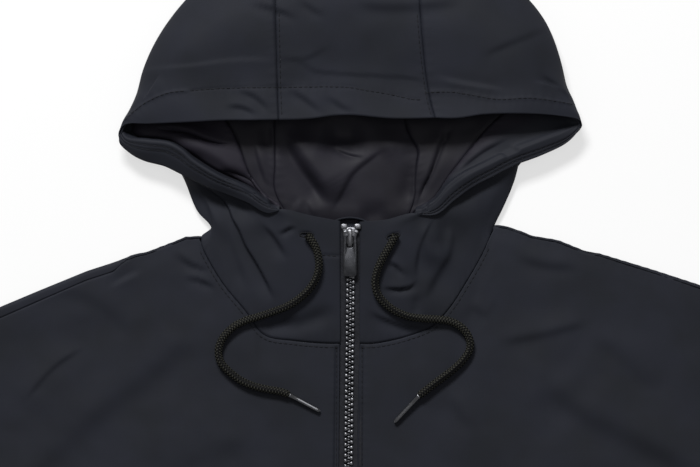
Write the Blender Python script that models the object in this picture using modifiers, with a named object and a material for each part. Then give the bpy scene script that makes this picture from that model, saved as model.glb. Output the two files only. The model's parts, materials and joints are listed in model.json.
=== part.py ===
"""A hooded full-zip windbreaker jacket, laid face up on a flat surface.

Metres, +X to the right as it is looked at, +Y towards the hood, +Z up. The
origin is under the middle of the jacket, on the surface it lies on.
Every cloth piece is an open surface of sections that a Solidify modifier
turns into a wall. Sections and outlines are in millimetres. "out" in a table
is the distance from the centre line, so a table serves one side of the jacket.
"""
import math

import bmesh
import bpy
import numpy as np
from mathutils import Matrix, Vector

MM = 0.001

# Cloth
WALL = 1.2              # shell cloth with its seam allowances
TAPE_WALL = 1.0         # zip tape and guard
SEAM_GAP = 0.3          # between two pieces sewn edge to edge
LAYER_GAP = 0.35        # between a piece and the one it lies on
LAP = 3.0               # the lining's edge under the facing's
CORNER_LAP = 4.5        # left free by the brim's facing at the corners
EDGE_BACK = 1.0         # the facing's edge behind the lip's
CORNER_SLACK = 0.45     # more room for the facing round the corner, by its distance

# Body
HEM_Y = -443.9
UNDERARM_Y = -60.0
SHOULDER_TIP_OUT = 275.0
NECK_SEAM_Y = 190.0     # front neck seam at the zip
SIDE_HEIGHT = 3.0       # a front's outer face at the side seam and on the chest
CHEST_HEIGHT = 4.3
SHOULDER_ROLL = 2.5     # radius of the fold where the back comes forward over the shoulder
NECK_STEP = 0.3         # the back's last points at the neck, where it has no fold
NECK_END = SHOULDER_ROLL - 5 * NECK_STEP - SEAM_GAP - 0.1

# Sleeve
SLEEVE_LENGTH = 600.0   # shoulder tip to cuff
SLEEVE_FALL = math.radians(58.0)
CUFF_WIDTH = 125.0
SLEEVE_DEPTH = 5.0      # a sleeve lying flat, both walls
ARMHOLE_GAP = 1.0       # the folded ends of the shoulder meet the sleeve's

# Front zip
ZIP_GAP_OUT = 6.0       # cloth edge from the centre line
TAPE_OUT = 15.0
TEETH_OUT = 2.75
TEETH_DEPTH = 2.7
TEETH_RISE = 0.3        # their top above the cloth's
ZIP_BOX_LENGTH = 9.7    # at the hem
GUARD_OUT = 10.5        # the strip behind the zip's upper end
GUARD_LOW_Y, GUARD_TOP_Y = 200.0, 268.6
ZIP_TOP_Y = 264.0
HEM_BACK = 2.0          # the zip's lower end above the hem
SLIDER_Y = 257.0        # the pull tab's hinge
SLIDER_LENGTH = 13.0
SLIDER_WIDTH = 9.4
SLIDER_DEPTH = 2.8
SLIDER_RISE = 1.5       # its top above the cloth's
SLIDER_AHEAD = 5.0      # its upper end above the hinge
SLIDER_RUN = 20.0       # the length of zip that sets its slope
BRIDGE_WIDTH = 2.6
BRIDGE_LENGTH = 11.6
BRIDGE_HEIGHT = 3.3
BRIDGE_ROOM = 2.1       # inside height of the bridge, round the tab's bar
BRIDGE_WALL = 1.3
TAB_LENGTH = 26.0
TAB_WIDTH = 8.5
TAB_THICK = 1.2
TAB_BAR = 1.2           # the tab's bar under the bridge
SLOT_WIDTH = 4.7
SLOT_LENGTH = 7.0

# Drawcord
CORD_RADIUS = 2.5
TIP_RADIUS = 1.3

# Hood side, one row for each section from the zip round the opening to the
# seam of the centre panel. Each section runs from the opening's edge to the
# neck seam: edge, roll (the crest where the edge turns over), lee (just past
# the crest), side, low, base and seam, each (out, y, z).
HOOD_LEFT = [
    # edge               roll                lee                 side
    # low                base                seam
    ("zip", (6, 266, 14), (6, 262, 13.8), (6, 256, 13.3), (6, 240, 11.9),
     (6, 222, 10), (6, 205, 7.9), (6, 190, 6)),
    ("eyelet", (24, 269.3, 14.6), (24, 265, 14.6), (23.5, 259, 14.2), (21, 241, 12.8),
     (18, 222, 10.6), (16, 205, 8.2), (15, 190, 6)),
    ("break", (41, 273, 16.3), (41.5, 271.5, 16.8), (41, 267, 15.6), (37, 248, 13.4),
     (34, 226, 11), (34, 206, 8.4), (34, 191.6, 6)),
    ("lip 1", (52, 269, 15.6), (53.5, 278, 19.4), (53, 274.5, 15.2), (51, 255, 11.8),
     (50, 233, 10), (51, 211, 7.8), (53, 195.3, 6)),
    ("lip 2", (62.6, 277, 16), (62.5, 287, 20.4), (62, 283.5, 15.8), (61, 263, 11),
     (61, 243, 9.4), (62.5, 224, 7.4), (64.8, 210, 6)),
    ("lip 3", (83, 285.5, 15), (82.5, 296.5, 21.2), (81.5, 293, 16), (77, 272, 10.8),
     (75.5, 252, 8.8), (76.5, 237, 7), (78.7, 227, 5.6)),
    ("lip 4", (98, 292, 14), (97.5, 305.5, 21), (95.5, 301, 15.5), (89, 280, 10),
     (84, 263, 7.6), (85.5, 252, 6.4), (88.3, 243, 5.3)),
    ("neck point", (106, 296, 13), (104.5, 309.5, 20.4), (102.5, 304, 14.5), (96.5, 287, 8.5),
     (86.2, 266, 6), (86, 258.5, 5.6), (92.3, 252.5, 5)),
    ("neck side", (114, 300, 12), (112, 313.5, 19.4), (109, 306, 12), (101.8, 290, 5),
     (94.5, 272, 3.6), (85.6, 263, 2.8), (91.2, 257.6, 2.4)),
    ("neck back", (127, 303.8, 11), (125, 317, 17.4), (120, 312, 9), (107, 302, 0.4),
     (94.5, 282, 0), (83.6, 265, 0), (86.4, 257.2, 0)),
    ("corner 1", (141, 313.5, 11), (139, 320, 13.5), (133, 318.5, 6), (122, 312.5, 0),
     (100, 293, 0), (80.5, 268, 0), (80.5, 255.2, 0)),
    ("corner 2", (143.3, 320, 13), (141.5, 322, 11), (137.5, 322.3, 5), (128, 320, 0),
     (105, 300, 0), (78, 271.5, 0), (74, 253, 0)),
    ("corner 3", (139.5, 325.5, 17), (140.3, 328, 14.5), (138.5, 329, 7), (131, 326.5, 0),
     (108, 308, 0), (77, 277, 0), (67, 251, 0)),
    ("brim 1", (124, 326, 23), (131.5, 333.5, 20), (135, 337.5, 13), (131, 338, 1),
     (106, 320, 0), (76, 284, 0), (60.5, 249.2, 0)),
    ("brim 2", (103.5, 326.7, 26), (111, 341, 27), (122.5, 353, 20), (128.5, 358, 9),
     (110, 344, 0), (72, 297, 0), (53, 247.6, 0)),
    ("brim 3", (78, 328, 27.5), (84, 345, 30), (103, 375, 26), (114.5, 386.5, 10),
     (98, 366, 0), (62, 308, 0), (45, 246, 0)),
    ("brim 4", (60, 328.2, 27.5), (63, 346.5, 30.5), (78, 392, 27.5), (88, 415.5, 10.5),
     (74, 392, 0), (50, 316, 0), (37.5, 244.8, 0)),
    ("panel", (44, 328.3, 27.5), (44.8, 348, 31), (46, 402, 29), (47, 437, 11),
     (44, 412, 0), (38, 320, 0), (30, 243.8, 0)),
]
HOOD_RIGHT = [
    ("zip", (6, 265.5, 14), (6, 262, 13.8), (6, 256, 13.3), (6, 240, 11.9),
     (6, 222, 10), (6, 205, 7.9), (6, 190, 6)),
    ("eyelet", (22, 266.8, 14.6), (22, 263, 14.6), (22, 257, 14.2), (20, 240, 12.8),
     (18, 222, 10.6), (16, 205, 8.2), (15, 190, 6)),
    ("break", (38, 270.8, 16.1), (38.5, 269.4, 16.6), (38.5, 265, 15.4), (36, 247, 13.4),
     (34, 226, 11), (34, 208, 8.5), (35, 194.2, 6)),
    ("lip 1", (53, 268.8, 15.5), (52, 275.4, 18.8), (52, 271.6, 14.8), (50, 254, 12),
     (49, 234, 10), (50, 215, 7.9), (51, 200.8, 6)),
    ("lip 2", (64.5, 278.6, 16), (62, 285.8, 20), (62, 282, 15.4), (61, 264, 11.2),
     (60.5, 245, 9.4), (61, 227, 7.4), (62, 212.5, 6)),
    ("lip 3", (75, 286.9, 16), (73.5, 294, 21), (73, 290, 15.8), (71, 273, 10.8),
     (70, 256, 8.8), (71, 241, 7), (72, 228, 5.6)),
    ("lip 4", (87, 293, 15), (86, 300.6, 21), (85, 296.4, 15.4), (82, 281, 10.2),
     (79, 265, 8), (79.5, 253.5, 6.4), (81, 243.5, 5.3)),
    ("neck point", (96, 297.7, 14), (95.5, 305.6, 20.4), (94.5, 301, 14.5), (92, 285, 8.8),
     (84.5, 266, 6.2), (83.5, 259.5, 5.6), (85.8, 254, 5)),
    ("neck side", (104, 301.5, 13), (104.5, 309.5, 19.4), (106.5, 304.5, 12), (102.3, 291, 5.5),
     (96.2, 277, 3.8), (90.2, 264.8, 2.8), (88, 259.8, 2.4)),
    ("neck back", (118, 307, 11.5), (118.5, 315, 17.4), (114, 310.5, 9), (103.5, 303, 0.4),
     (94.5, 283, 0), (86, 266.5, 0), (84.5, 256.6, 0)),
    ("corner 1", (133, 314.5, 11), (134, 321, 14.5), (127, 318, 6), (116, 312.5, 0),
     (99, 294, 0), (82.5, 270, 0), (79, 254.5, 0)),
    ("corner 2", (143.5, 324.5, 13), (141.8, 326, 11), (137.5, 325.5, 5), (128, 322, 0),
     (105, 302, 0), (80.5, 274, 0), (72.5, 252.5, 0)),
    ("corner 3", (141.5, 328.5, 17), (142, 331, 14.5), (139.8, 332, 7), (131.5, 329, 0),
     (109, 311, 0), (79, 279, 0), (66, 250.8, 0)),
    ("brim 1", (128, 331, 23), (134.5, 337, 20), (138, 341, 13), (133, 341, 1),
     (107, 322, 0), (77, 285, 0), (60, 249.1, 0)),
    ("brim 2", (106, 332.2, 26), (113, 345, 27), (125, 356, 20), (131.3, 361.5, 9),
     (112, 346, 0), (72, 298, 0), (53, 247.6, 0)),
    ("brim 3", (82, 331.7, 27.5), (87, 347, 30), (106, 379, 26), (119, 392.5, 10),
     (100, 370, 0), (62, 309, 0), (45, 246, 0)),
    ("brim 4", (66, 329.4, 27.5), (66, 346.5, 30.5), (79, 395, 27.5), (91, 419.5, 10.5),
     (75, 395, 0), (50, 317, 0), (37.5, 244.8, 0)),
    ("panel", (52.7, 329.6, 27.5), (48.6, 345.5, 31), (43, 402, 29), (44, 438, 11),
     (42, 412, 0), (36, 320, 0), (30, 243.8, 0)),
]
# Sections of the centre panel between its two seams, x in place of out
HOOD_CENTRE = [
    ("left", (-26, 328.9, 27.5), (-25, 350, 31.5), (-25, 408, 30), (-25, 442.2, 11),
     (-24, 415, 0), (-20, 320, 0), (-16, 242.5, 0)),
    ("middle", (-4, 331.4, 27), (-3, 352, 31.5), (-2, 409, 30), (0, 443.9, 11),
     (0, 416, 0), (0, 320, 0), (0, 242, 0)),
    ("right", (26, 329.2, 27.5), (24, 348.5, 31.5), (22, 408, 30), (23, 442.5, 11),
     (22, 415, 0), (18, 320, 0), (16, 242.5, 0)),
]
# Points between two sections, along the opening and along a section
HOOD_ROUND = (1, 1, 2, 1, 2, 2, 1, 1, 1, 1, 1, 1, 1, 2, 2, 2, 1)
HOOD_DOWN = (2, 3, 4, 3, 3, 2)
FIRST_LIP, LAST_LIP = 2, 12     # the rows "break" and "corner 3"
NECK_POINT, NECK_BACK = 7, 9

# Facing inside the lip: dip (the hollow behind the crest), swell and seam
# (where the lining starts). Then the lining's seam with its centre panel.
# A row for each hood section from "break" to "corner 3".
FACING_LEFT = [
    ((42, 274, 15.5), (42.4, 275, 13), (42.8, 276, 11), (40.5, 272, 8.2)),
    ((53, 281.6, 16), (53.6, 282.8, 13), (54.2, 284, 11), (45, 280, 8.6)),
    ((61, 291, 14.5), (61.2, 292.5, 12.5), (61.5, 294.5, 11.5), (47, 286.5, 9)),
    ((78, 303, 9.5), (71, 303, 13), (65, 301.5, 12), (47, 292, 9.5)),
    ((92, 312, 8), (80, 310, 13.5), (67, 307, 12.3), (46.5, 299, 10)),
    ((99, 315.5, 7.5), (85, 313.5, 13.5), (68.5, 311.5, 12.2), (46.5, 304, 10)),
    ((106, 318.5, 7), (91, 317.5, 13), (70, 315.5, 11.6), (46.5, 309, 9.5)),
    ((118, 321.5, 6), (98, 321.5, 12), (72, 320, 10.8), (46.7, 314.5, 9)),
    ((130, 322.5, 5.5), (105, 325, 10), (75, 325.5, 9.8), (47, 320, 8)),
    ((134, 324, 5), (109, 329, 8), (79, 332, 8.6), (47, 327, 7)),
    ((133, 328, 5), (113, 336.5, 6), (85, 342, 7), (47, 338, 5.5)),
]
FACING_RIGHT = [
    ((39, 272, 15.5), (39.4, 273, 13), (39.8, 274, 11), (36.8, 270, 8.2)),
    ((52, 278.8, 15.5), (52.2, 280, 13), (52.5, 281.5, 11), (39, 276, 8.6)),
    ((60.5, 289.4, 15), (60.2, 291, 13), (60, 293, 12), (40.2, 282, 9)),
    ((70, 298, 14), (67.5, 298.8, 13.3), (65.5, 300, 12.5), (40.2, 289, 9.5)),
    ((80.5, 304.2, 13.5), (75, 305, 13.5), (70, 305.5, 12.5), (40.6, 296, 10)),
    ((90, 309.2, 12.5), (81.5, 310, 13), (74, 310, 12.3), (41.5, 302.5, 10)),
    ((98, 313.5, 11.5), (87.5, 315, 12.5), (78, 315, 11.8), (42.2, 308, 9.5)),
    ((110, 318.5, 8.5), (95, 320, 11.5), (83, 321.5, 11), (41, 312, 9)),
    ((124, 323, 6), (106, 325.5, 10), (89, 327.5, 9.8), (38, 317, 8)),
    ((134, 327, 5), (114, 332, 8), (96, 334, 8.6), (35, 324, 7)),
    ((135, 331.5, 5), (118, 340, 6), (102, 343, 7), (33, 337, 5.5)),
]
# The lining goes on, below under the collar and above under the brim: seam
# with the facing, seam with the centre panel
LINING_BELOW_LEFT = [((41, 250, 3.5), (35, 250, 3.5)), ((43.5, 264, 6), (37.5, 261, 5.5))]
LINING_ABOVE_LEFT = [((88, 355, 5), (47, 354, 4)), ((84, 378, 3), (46, 376, 3))]
LINING_BELOW_RIGHT = [((39, 250, 3.5), (33, 250, 3.5)), ((41.5, 262, 6), (35, 260, 5.5))]
LINING_ABOVE_RIGHT = [((100, 357, 5), (33, 354, 4)), ((88, 378, 3), (34, 376, 3))]
# Soft folds of the centre lining: middle x at its foot, x at its top, foot y,
# top y, half width, height
LINING_FOLDS = [
    (-24, -36, 262, 330, 9, 2.0),
    (-12, -30, 268, 318, 8, -1.6),
    (-14, 10, 266, 300, 7, 1.8),
    (28, 22, 262, 322, 9, 1.6),
]

# Shoulder: the outline as it lies, then the seam's distance in front of it
SHOULDER_LEFT = [(93.3, 256.7, 4), (102.3, 256.2, 4), (106.6, 254.2, 4), (125.9, 246.8, 4),
                 (133.9, 245.4, 4.5), (142.3, 241.8, 6), (163.1, 235, 7.5), (193.4, 222.6, 8),
                 (217, 212.7, 8), (246, 200.6, 8), (275, 188, 8)]
SHOULDER_RIGHT = [(90, 263.6, 4), (96.7, 262.9, 4), (108, 259, 4), (112, 257, 4),
                  (129, 254.2, 4), (145.7, 247.4, 4), (155, 245.8, 4), (188.5, 235.6, 4),
                  (217, 226.3, 4), (246, 216, 4), (275, 205, 4)]
FOLD_STARTS, FOLD_FULL = 96.0, 106.0     # where the back starts to come forward
# Distances from the centre line of the sections across a shoulder
SHOULDER_STATIONS = (FOLD_STARTS, 101.0, FOLD_FULL, 118.0, 134.0, 150.0, 170.0, 194.0, 220.0, 248.0,
                     SHOULDER_TIP_OUT)
FRONT_ROWS = 14
BACK_ROWS = 8
SLEEVE_SECTIONS = 9
SLEEVE_ACROSS = 7       # points across a sleeve's flat width
# Half width of the body by height, from the hem to above the shoulder
SIDE_LINE = [(HEM_Y, 300), (UNDERARM_Y, 300), (205, SHOULDER_TIP_OUT), (300, SHOULDER_TIP_OUT)]
# Height of the front's outer face at the zip's edge, and of the zip under it
ZIP_RISE = [(HEM_Y, CHEST_HEIGHT), (-200, CHEST_HEIGHT), (60, 4.5), (150, 5.2), (NECK_SEAM_Y, 6),
            (205, 7.9), (222, 10), (240, 11.9), (256, 13.3), (266, 14)]
# Soft folds of the fronts: one end, other end, half width, height
FRONT_FOLDS = [
    ((-205, 150), (-165, 192), 12, 1.2),
    ((-255, 60), (-120, 120), 30, 0.8),
    ((-210, -120), (-60, -60), 34, 0.9),
    ((-240, -300), (-80, -250), 36, 0.8),
    ((145, 190), (115, 200), 10, 1.0),
    ((230, 60), (130, 150), 34, 1.0),
    ((90, -40), (240, -110), 34, 0.9),
    ((60, -240), (230, -310), 38, 0.8),
]

# Drawcord routes, from the eyelet to the tip: (x, y, z)
CORD_LEFT = [
    (-26.7, 257.5, 17.5), (-21.8, 251, 16.8), (-19.6, 244, 16.2), (-19.3, 237, 15.6),
    (-21.3, 230, 14.9), (-25.2, 223.9, 14.1), (-30.5, 218.7, 13.4), (-38.3, 213.5, 12.5),
    (-47, 210, 11.4), (-55.7, 207, 10.2), (-64.5, 204.4, 9.1), (-71.4, 200.9, 8.8),
    (-77, 195.7, 8.4), (-80.5, 190, 8.2), (-81.5, 184, 8), (-79.6, 178, 8),
    (-74.8, 172.7, 8.1), (-67.9, 167.4, 8.2), (-60.1, 163.9, 8.4), (-51.5, 161.8, 8.6),
    (-43.5, 160.4, 8.65), (-37.4, 158.3, 8.6),
]
CORD_RIGHT = [
    (28.5, 257.5, 17.7), (24.2, 250, 16.9), (19.8, 242.2, 16.2), (16.6, 234.4, 15.3),
    (15.5, 227.5, 14.5), (17.3, 220.5, 13.7), (21.6, 215.2, 13), (27.7, 210.5, 12.3),
    (35.6, 207.1, 11.7), (44.3, 205.7, 10.8), (52.9, 205.2, 9.8), (61.6, 204, 9),
    (68.6, 200.5, 8.7), (73, 195.3, 8.4), (74.5, 190, 8.2), (73.4, 184.8, 8.2),
    (69.4, 179.2, 8.3), (63.4, 173.6, 8.4), (56.4, 168.3, 8.5), (49.5, 163.1, 8.55),
    (42.5, 157.5, 8.5),
]
TIP_LEFT_END = (-18.7, 148.3, 7.3)
TIP_RIGHT_END = (27.5, 141.4, 7.1)
CORD_POINTS = 42


# ---------------------------------------------------------------- curves

def through(knots, counts):
    """Smooth curves through knots along axis 0: centripetal Catmull-Rom, with
    counts[i] steps between knot i and the next, each column its own curve."""
    k = np.asarray(knots, float)
    if k.ndim == 2:
        return through(k[:, None, :], counts)[:, 0, :]
    step = np.maximum(np.linalg.norm(np.diff(k, axis=0), axis=2), 1e-6)[..., None] ** 0.5
    chord = np.diff(k, axis=0) / step
    slope = np.empty_like(k)
    both = (k[2:] - k[:-2]) / (step[:-1] + step[1:])
    slope[1:-1] = chord[:-1] - both + chord[1:]
    slope[0] = 1.5 * chord[0] - 0.5 * slope[1]
    slope[-1] = 1.5 * chord[-1] - 0.5 * slope[-2]
    rows = []
    for i, count in enumerate(counts):
        for s in np.arange(count) / count:
            rows.append((2 * s ** 3 - 3 * s ** 2 + 1) * k[i]
                        + (s ** 3 - 2 * s ** 2 + s) * step[i] * slope[i]
                        + (3 * s ** 2 - 2 * s ** 3) * k[i + 1]
                        + (s ** 3 - s ** 2) * step[i] * slope[i + 1])
    rows.append(k[-1])
    return np.array(rows)


def even_points(curve, count):
    """count points at even distances along a finely sampled curve."""
    reach = np.concatenate([[0.0], np.cumsum(np.linalg.norm(np.diff(curve, axis=0), axis=1))])
    wanted = np.linspace(0.0, reach[-1], count)
    return np.stack([np.interp(wanted, reach, curve[:, a]) for a in range(3)], axis=1)


def ease(value, low, high):
    """0 below low, 1 above high, smooth between."""
    t = np.clip((value - low) / (high - low), 0.0, 1.0)
    return t * t * (3.0 - 2.0 * t)


def fold_height(x, y, fold):
    """A soft ridge or trough round the line from fold[0] to fold[1]."""
    (ax, ay), (bx, by), half, height = fold
    length = math.hypot(bx - ax, by - ay)
    ux, uy = (bx - ax) / length, (by - ay) / length
    along = ((x - ax) * ux + (y - ay) * uy) / length
    across = (x - ax) * uy - (y - ay) * ux
    return height * np.exp(-(across / half) ** 2) * ease(along, -0.2, 0.25) * (1 - ease(along, 0.75, 1.2))


# ---------------------------------------------------------------- surfaces

def grid_faces(grid, around=False, flip=False):
    """A bmesh of the grid's points (rows, columns, 3) in metres. around joins the
    last column to the first, flip turns the faces to the other side."""
    rows, columns = grid.shape[:2]
    bm = bmesh.new()
    points = [[bm.verts.new(Vector(p) * MM) for p in row] for row in grid.tolist()]
    for r in range(rows - 1):
        for c in range(columns if around else columns - 1):
            d = (c + 1) % columns
            ring = [points[r][c], points[r + 1][c], points[r + 1][d], points[r][d]]
            bm.faces.new(ring[::-1] if flip else ring)
    bm.normal_update()
    return bm


def vertex_normals(grid, flip):
    bm = grid_faces(grid, flip=flip)
    out = np.array([v.normal for v in bm.verts]).reshape(grid.shape)
    bm.free()
    return out


def moved_in(grid, flip=False, slack=0.0):
    """The points of a cloth's outer face moved to where the layer inside it
    starts; slack is the share added to that distance, for each row."""
    distance = (WALL + LAYER_GAP) * (1 + np.reshape(slack, (-1, 1, 1)))
    return grid - vertex_normals(grid, flip) * distance


def on_the_floor(grid, flip):
    """The grid raised where it or the wall inside it would be below the surface."""
    grid[..., 2] = np.maximum(grid[..., 2], 0.0)
    for _ in range(2):
        grid[..., 2] = np.maximum(grid[..., 2], vertex_normals(grid, flip)[..., 2] * WALL)
    return grid


def drawn_in(grid, first_row=0.0, last_row=0.0, first_column=0.0, last_column=0.0):
    """The grid with border points moved towards their neighbours, by these distances."""
    g = grid.copy()

    def pull(border, inner, distance):
        away = inner - border
        return border + away / np.linalg.norm(away, axis=-1, keepdims=True) * distance

    g[:, 0] = pull(g[:, 0], g[:, 1], first_column)
    g[:, -1] = pull(g[:, -1], g[:, -2], last_column)
    g[0] = pull(g[0], g[1], first_row)
    g[-1] = pull(g[-1], g[-2], last_row)
    return g


def material(name, colour, roughness, metallic=0.0):
    """A Principled material; colour is linear red, green, blue."""
    made = bpy.data.materials.get(name)
    if made is None:
        made = bpy.data.materials.new(name)
        made.use_nodes = True
        shader = made.node_tree.nodes["Principled BSDF"]
        shader.inputs["Base Color"].default_value = (*colour, 1.0)
        shader.inputs["Roughness"].default_value = roughness
        shader.inputs["Metallic"].default_value = metallic
    return made


def shell_cloth():
    return material("shell cloth", (0.017, 0.018, 0.022), 0.6)


def lining_cloth():
    return material("lining cloth", (0.022, 0.020, 0.025), 0.45)


def tape_cloth():
    return material("zip tape", (0.011, 0.011, 0.013), 0.8)


def zip_metal():
    return material("dark zip metal", (0.10, 0.10, 0.11), 0.35, 0.9)


def cord_braid():
    return material("cord braid", (0.016, 0.017, 0.013), 0.75)


def tip_plastic():
    return material("cord tip", (0.008, 0.008, 0.009), 0.15)


def keep(obj, collection, finish):
    obj.data.materials.append(finish)
    collection.objects.link(obj)
    return obj


def cloth(name, grid, collection, finish, wall=WALL, around=False, flip=False):
    """A cloth piece: the grid is its outer face and Solidify gives its wall
    inwards. around joins the last column to the first, as in a tube."""
    bm = grid_faces(grid, around, flip)
    mesh = bpy.data.meshes.new(name)
    bm.to_mesh(mesh)
    bm.free()
    mesh.shade_smooth()
    obj = keep(bpy.data.objects.new(name, mesh), collection, finish)
    solid = obj.modifiers.new("Wall", "SOLIDIFY")
    solid.thickness = wall * MM
    solid.offset = -1.0
    return obj


# ---------------------------------------------------------------- hood

def side_sections(table, sign):
    """The hood side's fine grid: rows round the opening, columns down a section."""
    knots = np.array([row[1:] for row in table], float)
    knots[..., 0] *= sign
    rows = through(knots, HOOD_ROUND)
    grid = through(rows.transpose(1, 0, 2), HOOD_DOWN).transpose(1, 0, 2)
    return on_the_floor(grid, flip=sign > 0)


def centre_sections():
    """The centre panel's grid, between the last sections of the two sides."""
    def last(table, sign):
        knots = np.array(table[-1][1:], float)
        knots[:, 0] *= sign
        return knots
    middle = [np.array(row[1:], float) for row in HOOD_CENTRE]
    knots = np.array([last(HOOD_LEFT, -1)] + middle + [last(HOOD_RIGHT, 1)])
    rows = through(knots, (2, 2, 2, 2))
    grid = through(rows.transpose(1, 0, 2), HOOD_DOWN).transpose(1, 0, 2)
    return on_the_floor(grid, flip=False)


def fine_row(section):
    """The fine grid's row for a section of the hood table."""
    return sum(HOOD_ROUND[:section])


def corner_slack():
    """CORNER_SLACK in the hood side's rows round the corner, 0 away from them."""
    row = np.arange(sum(HOOD_ROUND) + 1)
    last = fine_row(LAST_LIP)
    return CORNER_SLACK * ease(row, last - 6.0, last - 3.0) * (1 - ease(row, last + 3.0, last + 6.0))


def facing_grid(shell, table, sign):
    """The facing: the hood's inner face from the edge over the crest, moved in
    by a layer, then down into the dip and up the swell to the lining's seam."""
    first, last = fine_row(FIRST_LIP) + 1, fine_row(LAST_LIP)
    over = moved_in(shell, sign > 0, corner_slack())[first:last + 1, :HOOD_DOWN[0] + 1]
    counts = HOOD_ROUND[FIRST_LIP:LAST_LIP]
    inside = np.array([row[:3] for row in table], float)
    inside[..., 0] *= sign
    inside = through(inside, counts)[1:]
    knots = np.concatenate([over[:, -2:], inside], axis=1).transpose(1, 0, 2)
    run = through(knots, (1, 4, 2, 3)).transpose(1, 0, 2)
    return np.concatenate([over[:, :-2], run], axis=1)


def lining_edges(table, below, above, sign):
    """The lining's two long seams on one side. The outer one lies under the
    facing's edge by the lap."""
    counts = HOOD_ROUND[FIRST_LIP:LAST_LIP]
    knots = np.array([row[2:] for row in table], float)
    knots[:, 0] += (LAP, 0.0, -WALL - LAYER_GAP - 0.3)
    middle = through(knots, counts)
    rows = np.concatenate([np.array(below, float), middle, np.array(above, float)])
    rows[..., 0] *= sign
    return rows[:, 0], rows[:, 1]


def between(one, other, columns):
    """A grid of straight lines from one seam to the other."""
    s = np.linspace(0.0, 1.0, columns)[None, :, None]
    return one[:, None, :] * (1 - s) + other[:, None, :] * s


def build_hood(collection):
    left = side_sections(HOOD_LEFT, -1)
    right = side_sections(HOOD_RIGHT, 1)
    centre = centre_sections()
    half = SEAM_GAP / 2
    cloth("hood_side_left", drawn_in(left, last_row=half, last_column=half), collection,
          shell_cloth())
    cloth("hood_side_right", drawn_in(right, last_row=half, last_column=half), collection,
          shell_cloth(), flip=True)
    cloth("hood_centre", drawn_in(centre, first_row=half, last_row=half, last_column=half),
          collection, shell_cloth())

    face_left = facing_grid(left, FACING_LEFT, -1)
    face_right = facing_grid(right, FACING_RIGHT, 1)
    ends = {"first_row": LAP, "last_row": half, "first_column": EDGE_BACK}
    cloth("hood_facing_left", drawn_in(face_left, **ends), collection, shell_cloth())
    cloth("hood_facing_right", drawn_in(face_right, **ends), collection, shell_cloth(),
          flip=True)

    first = fine_row(LAST_LIP)
    band = HOOD_DOWN[0] + 2
    under_left = moved_in(left, False, corner_slack())[first:-1, :band]
    under_right = moved_in(right, True, corner_slack())[first:-1, :band]
    brim = np.concatenate([under_left, moved_in(centre)[:, :band], under_right[::-1]])
    brim = drawn_in(brim, first_row=CORNER_LAP, last_row=CORNER_LAP)
    cloth("brim_facing", brim, collection, shell_cloth())

    seam_l, panel_l = lining_edges(FACING_LEFT, LINING_BELOW_LEFT, LINING_ABOVE_LEFT, -1)
    seam_r, panel_r = lining_edges(FACING_RIGHT, LINING_BELOW_RIGHT, LINING_ABOVE_RIGHT, 1)
    middle = between(panel_l, panel_r, 9)
    for foot_x, top_x, foot_y, top_y, width, height in LINING_FOLDS:
        fold = ((foot_x, foot_y), (top_x, top_y), width, height)
        edge = np.sin(np.linspace(0.0, math.pi, 9))[None, :] ** 0.5
        middle[..., 2] += fold_height(middle[..., 0], middle[..., 1], fold) * edge
    middle[..., 2] = np.maximum(middle[..., 2], 1.7)
    sides = {"first_column": SEAM_GAP, "last_column": SEAM_GAP}
    cloth("hood_lining_left", drawn_in(between(seam_l, panel_l, 4), **sides), collection,
          lining_cloth())
    cloth("hood_lining_centre", drawn_in(middle, **sides), collection, lining_cloth())
    cloth("hood_lining_right", drawn_in(between(panel_r, seam_r, 4), **sides), collection,
          lining_cloth())
    return left, right, centre


# ---------------------------------------------------------------- body

def side_out(y):
    return np.interp(y, [row[0] for row in SIDE_LINE], [row[1] for row in SIDE_LINE])


def zip_height(y):
    return np.interp(y, [row[0] for row in ZIP_RISE], [row[1] for row in ZIP_RISE])


def front_height(x, y, shoulder_y):
    """Outer face of a front: flat at the side seam, raised by the zip, the
    shoulder and the armhole, with the soft folds added away from its edges."""
    out = np.abs(x)
    edge = side_out(y) - out
    below = shoulder_y - y
    high = SIDE_HEIGHT + (CHEST_HEIGHT - SIDE_HEIGHT) * ease(edge, 0.0, 60.0)
    by_armhole = ease(y, UNDERARM_Y - 20.0, UNDERARM_Y + 60.0) * (1 - ease(edge, 0.0, 90.0))
    high = high + (SLEEVE_DEPTH - high) * by_armhole
    high = high + (2 * SHOULDER_ROLL - high) * (1 - ease(below, 2.0, 45.0))
    by_zip = 1 - ease(out - ZIP_GAP_OUT, 2.0, 120.0)
    high = high + (zip_height(np.minimum(y, NECK_SEAM_Y)) - high) * by_zip
    calm = ease(edge, 4.0, 40.0) * ease(out, 20.0, 60.0) * ease(below, 8.0, 40.0)
    for fold in FRONT_FOLDS:
        high = high + fold_height(x, y, fold) * calm
    return high


def shoulder_line(table, out):
    """The shoulder's outline height and the seam's distance in front of it."""
    outs = [row[0] for row in table]
    return (np.interp(out, outs, [row[1] for row in table]),
            np.interp(out, outs, [row[2] for row in table]))


def hem_to_top(top_y, rows):
    """Row heights from hem to top, closer together towards the top."""
    t = 1 - (1 - np.linspace(0.0, 1.0, rows)) ** 1.5
    return HEM_Y + (top_y - HEM_Y) * t


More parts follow.
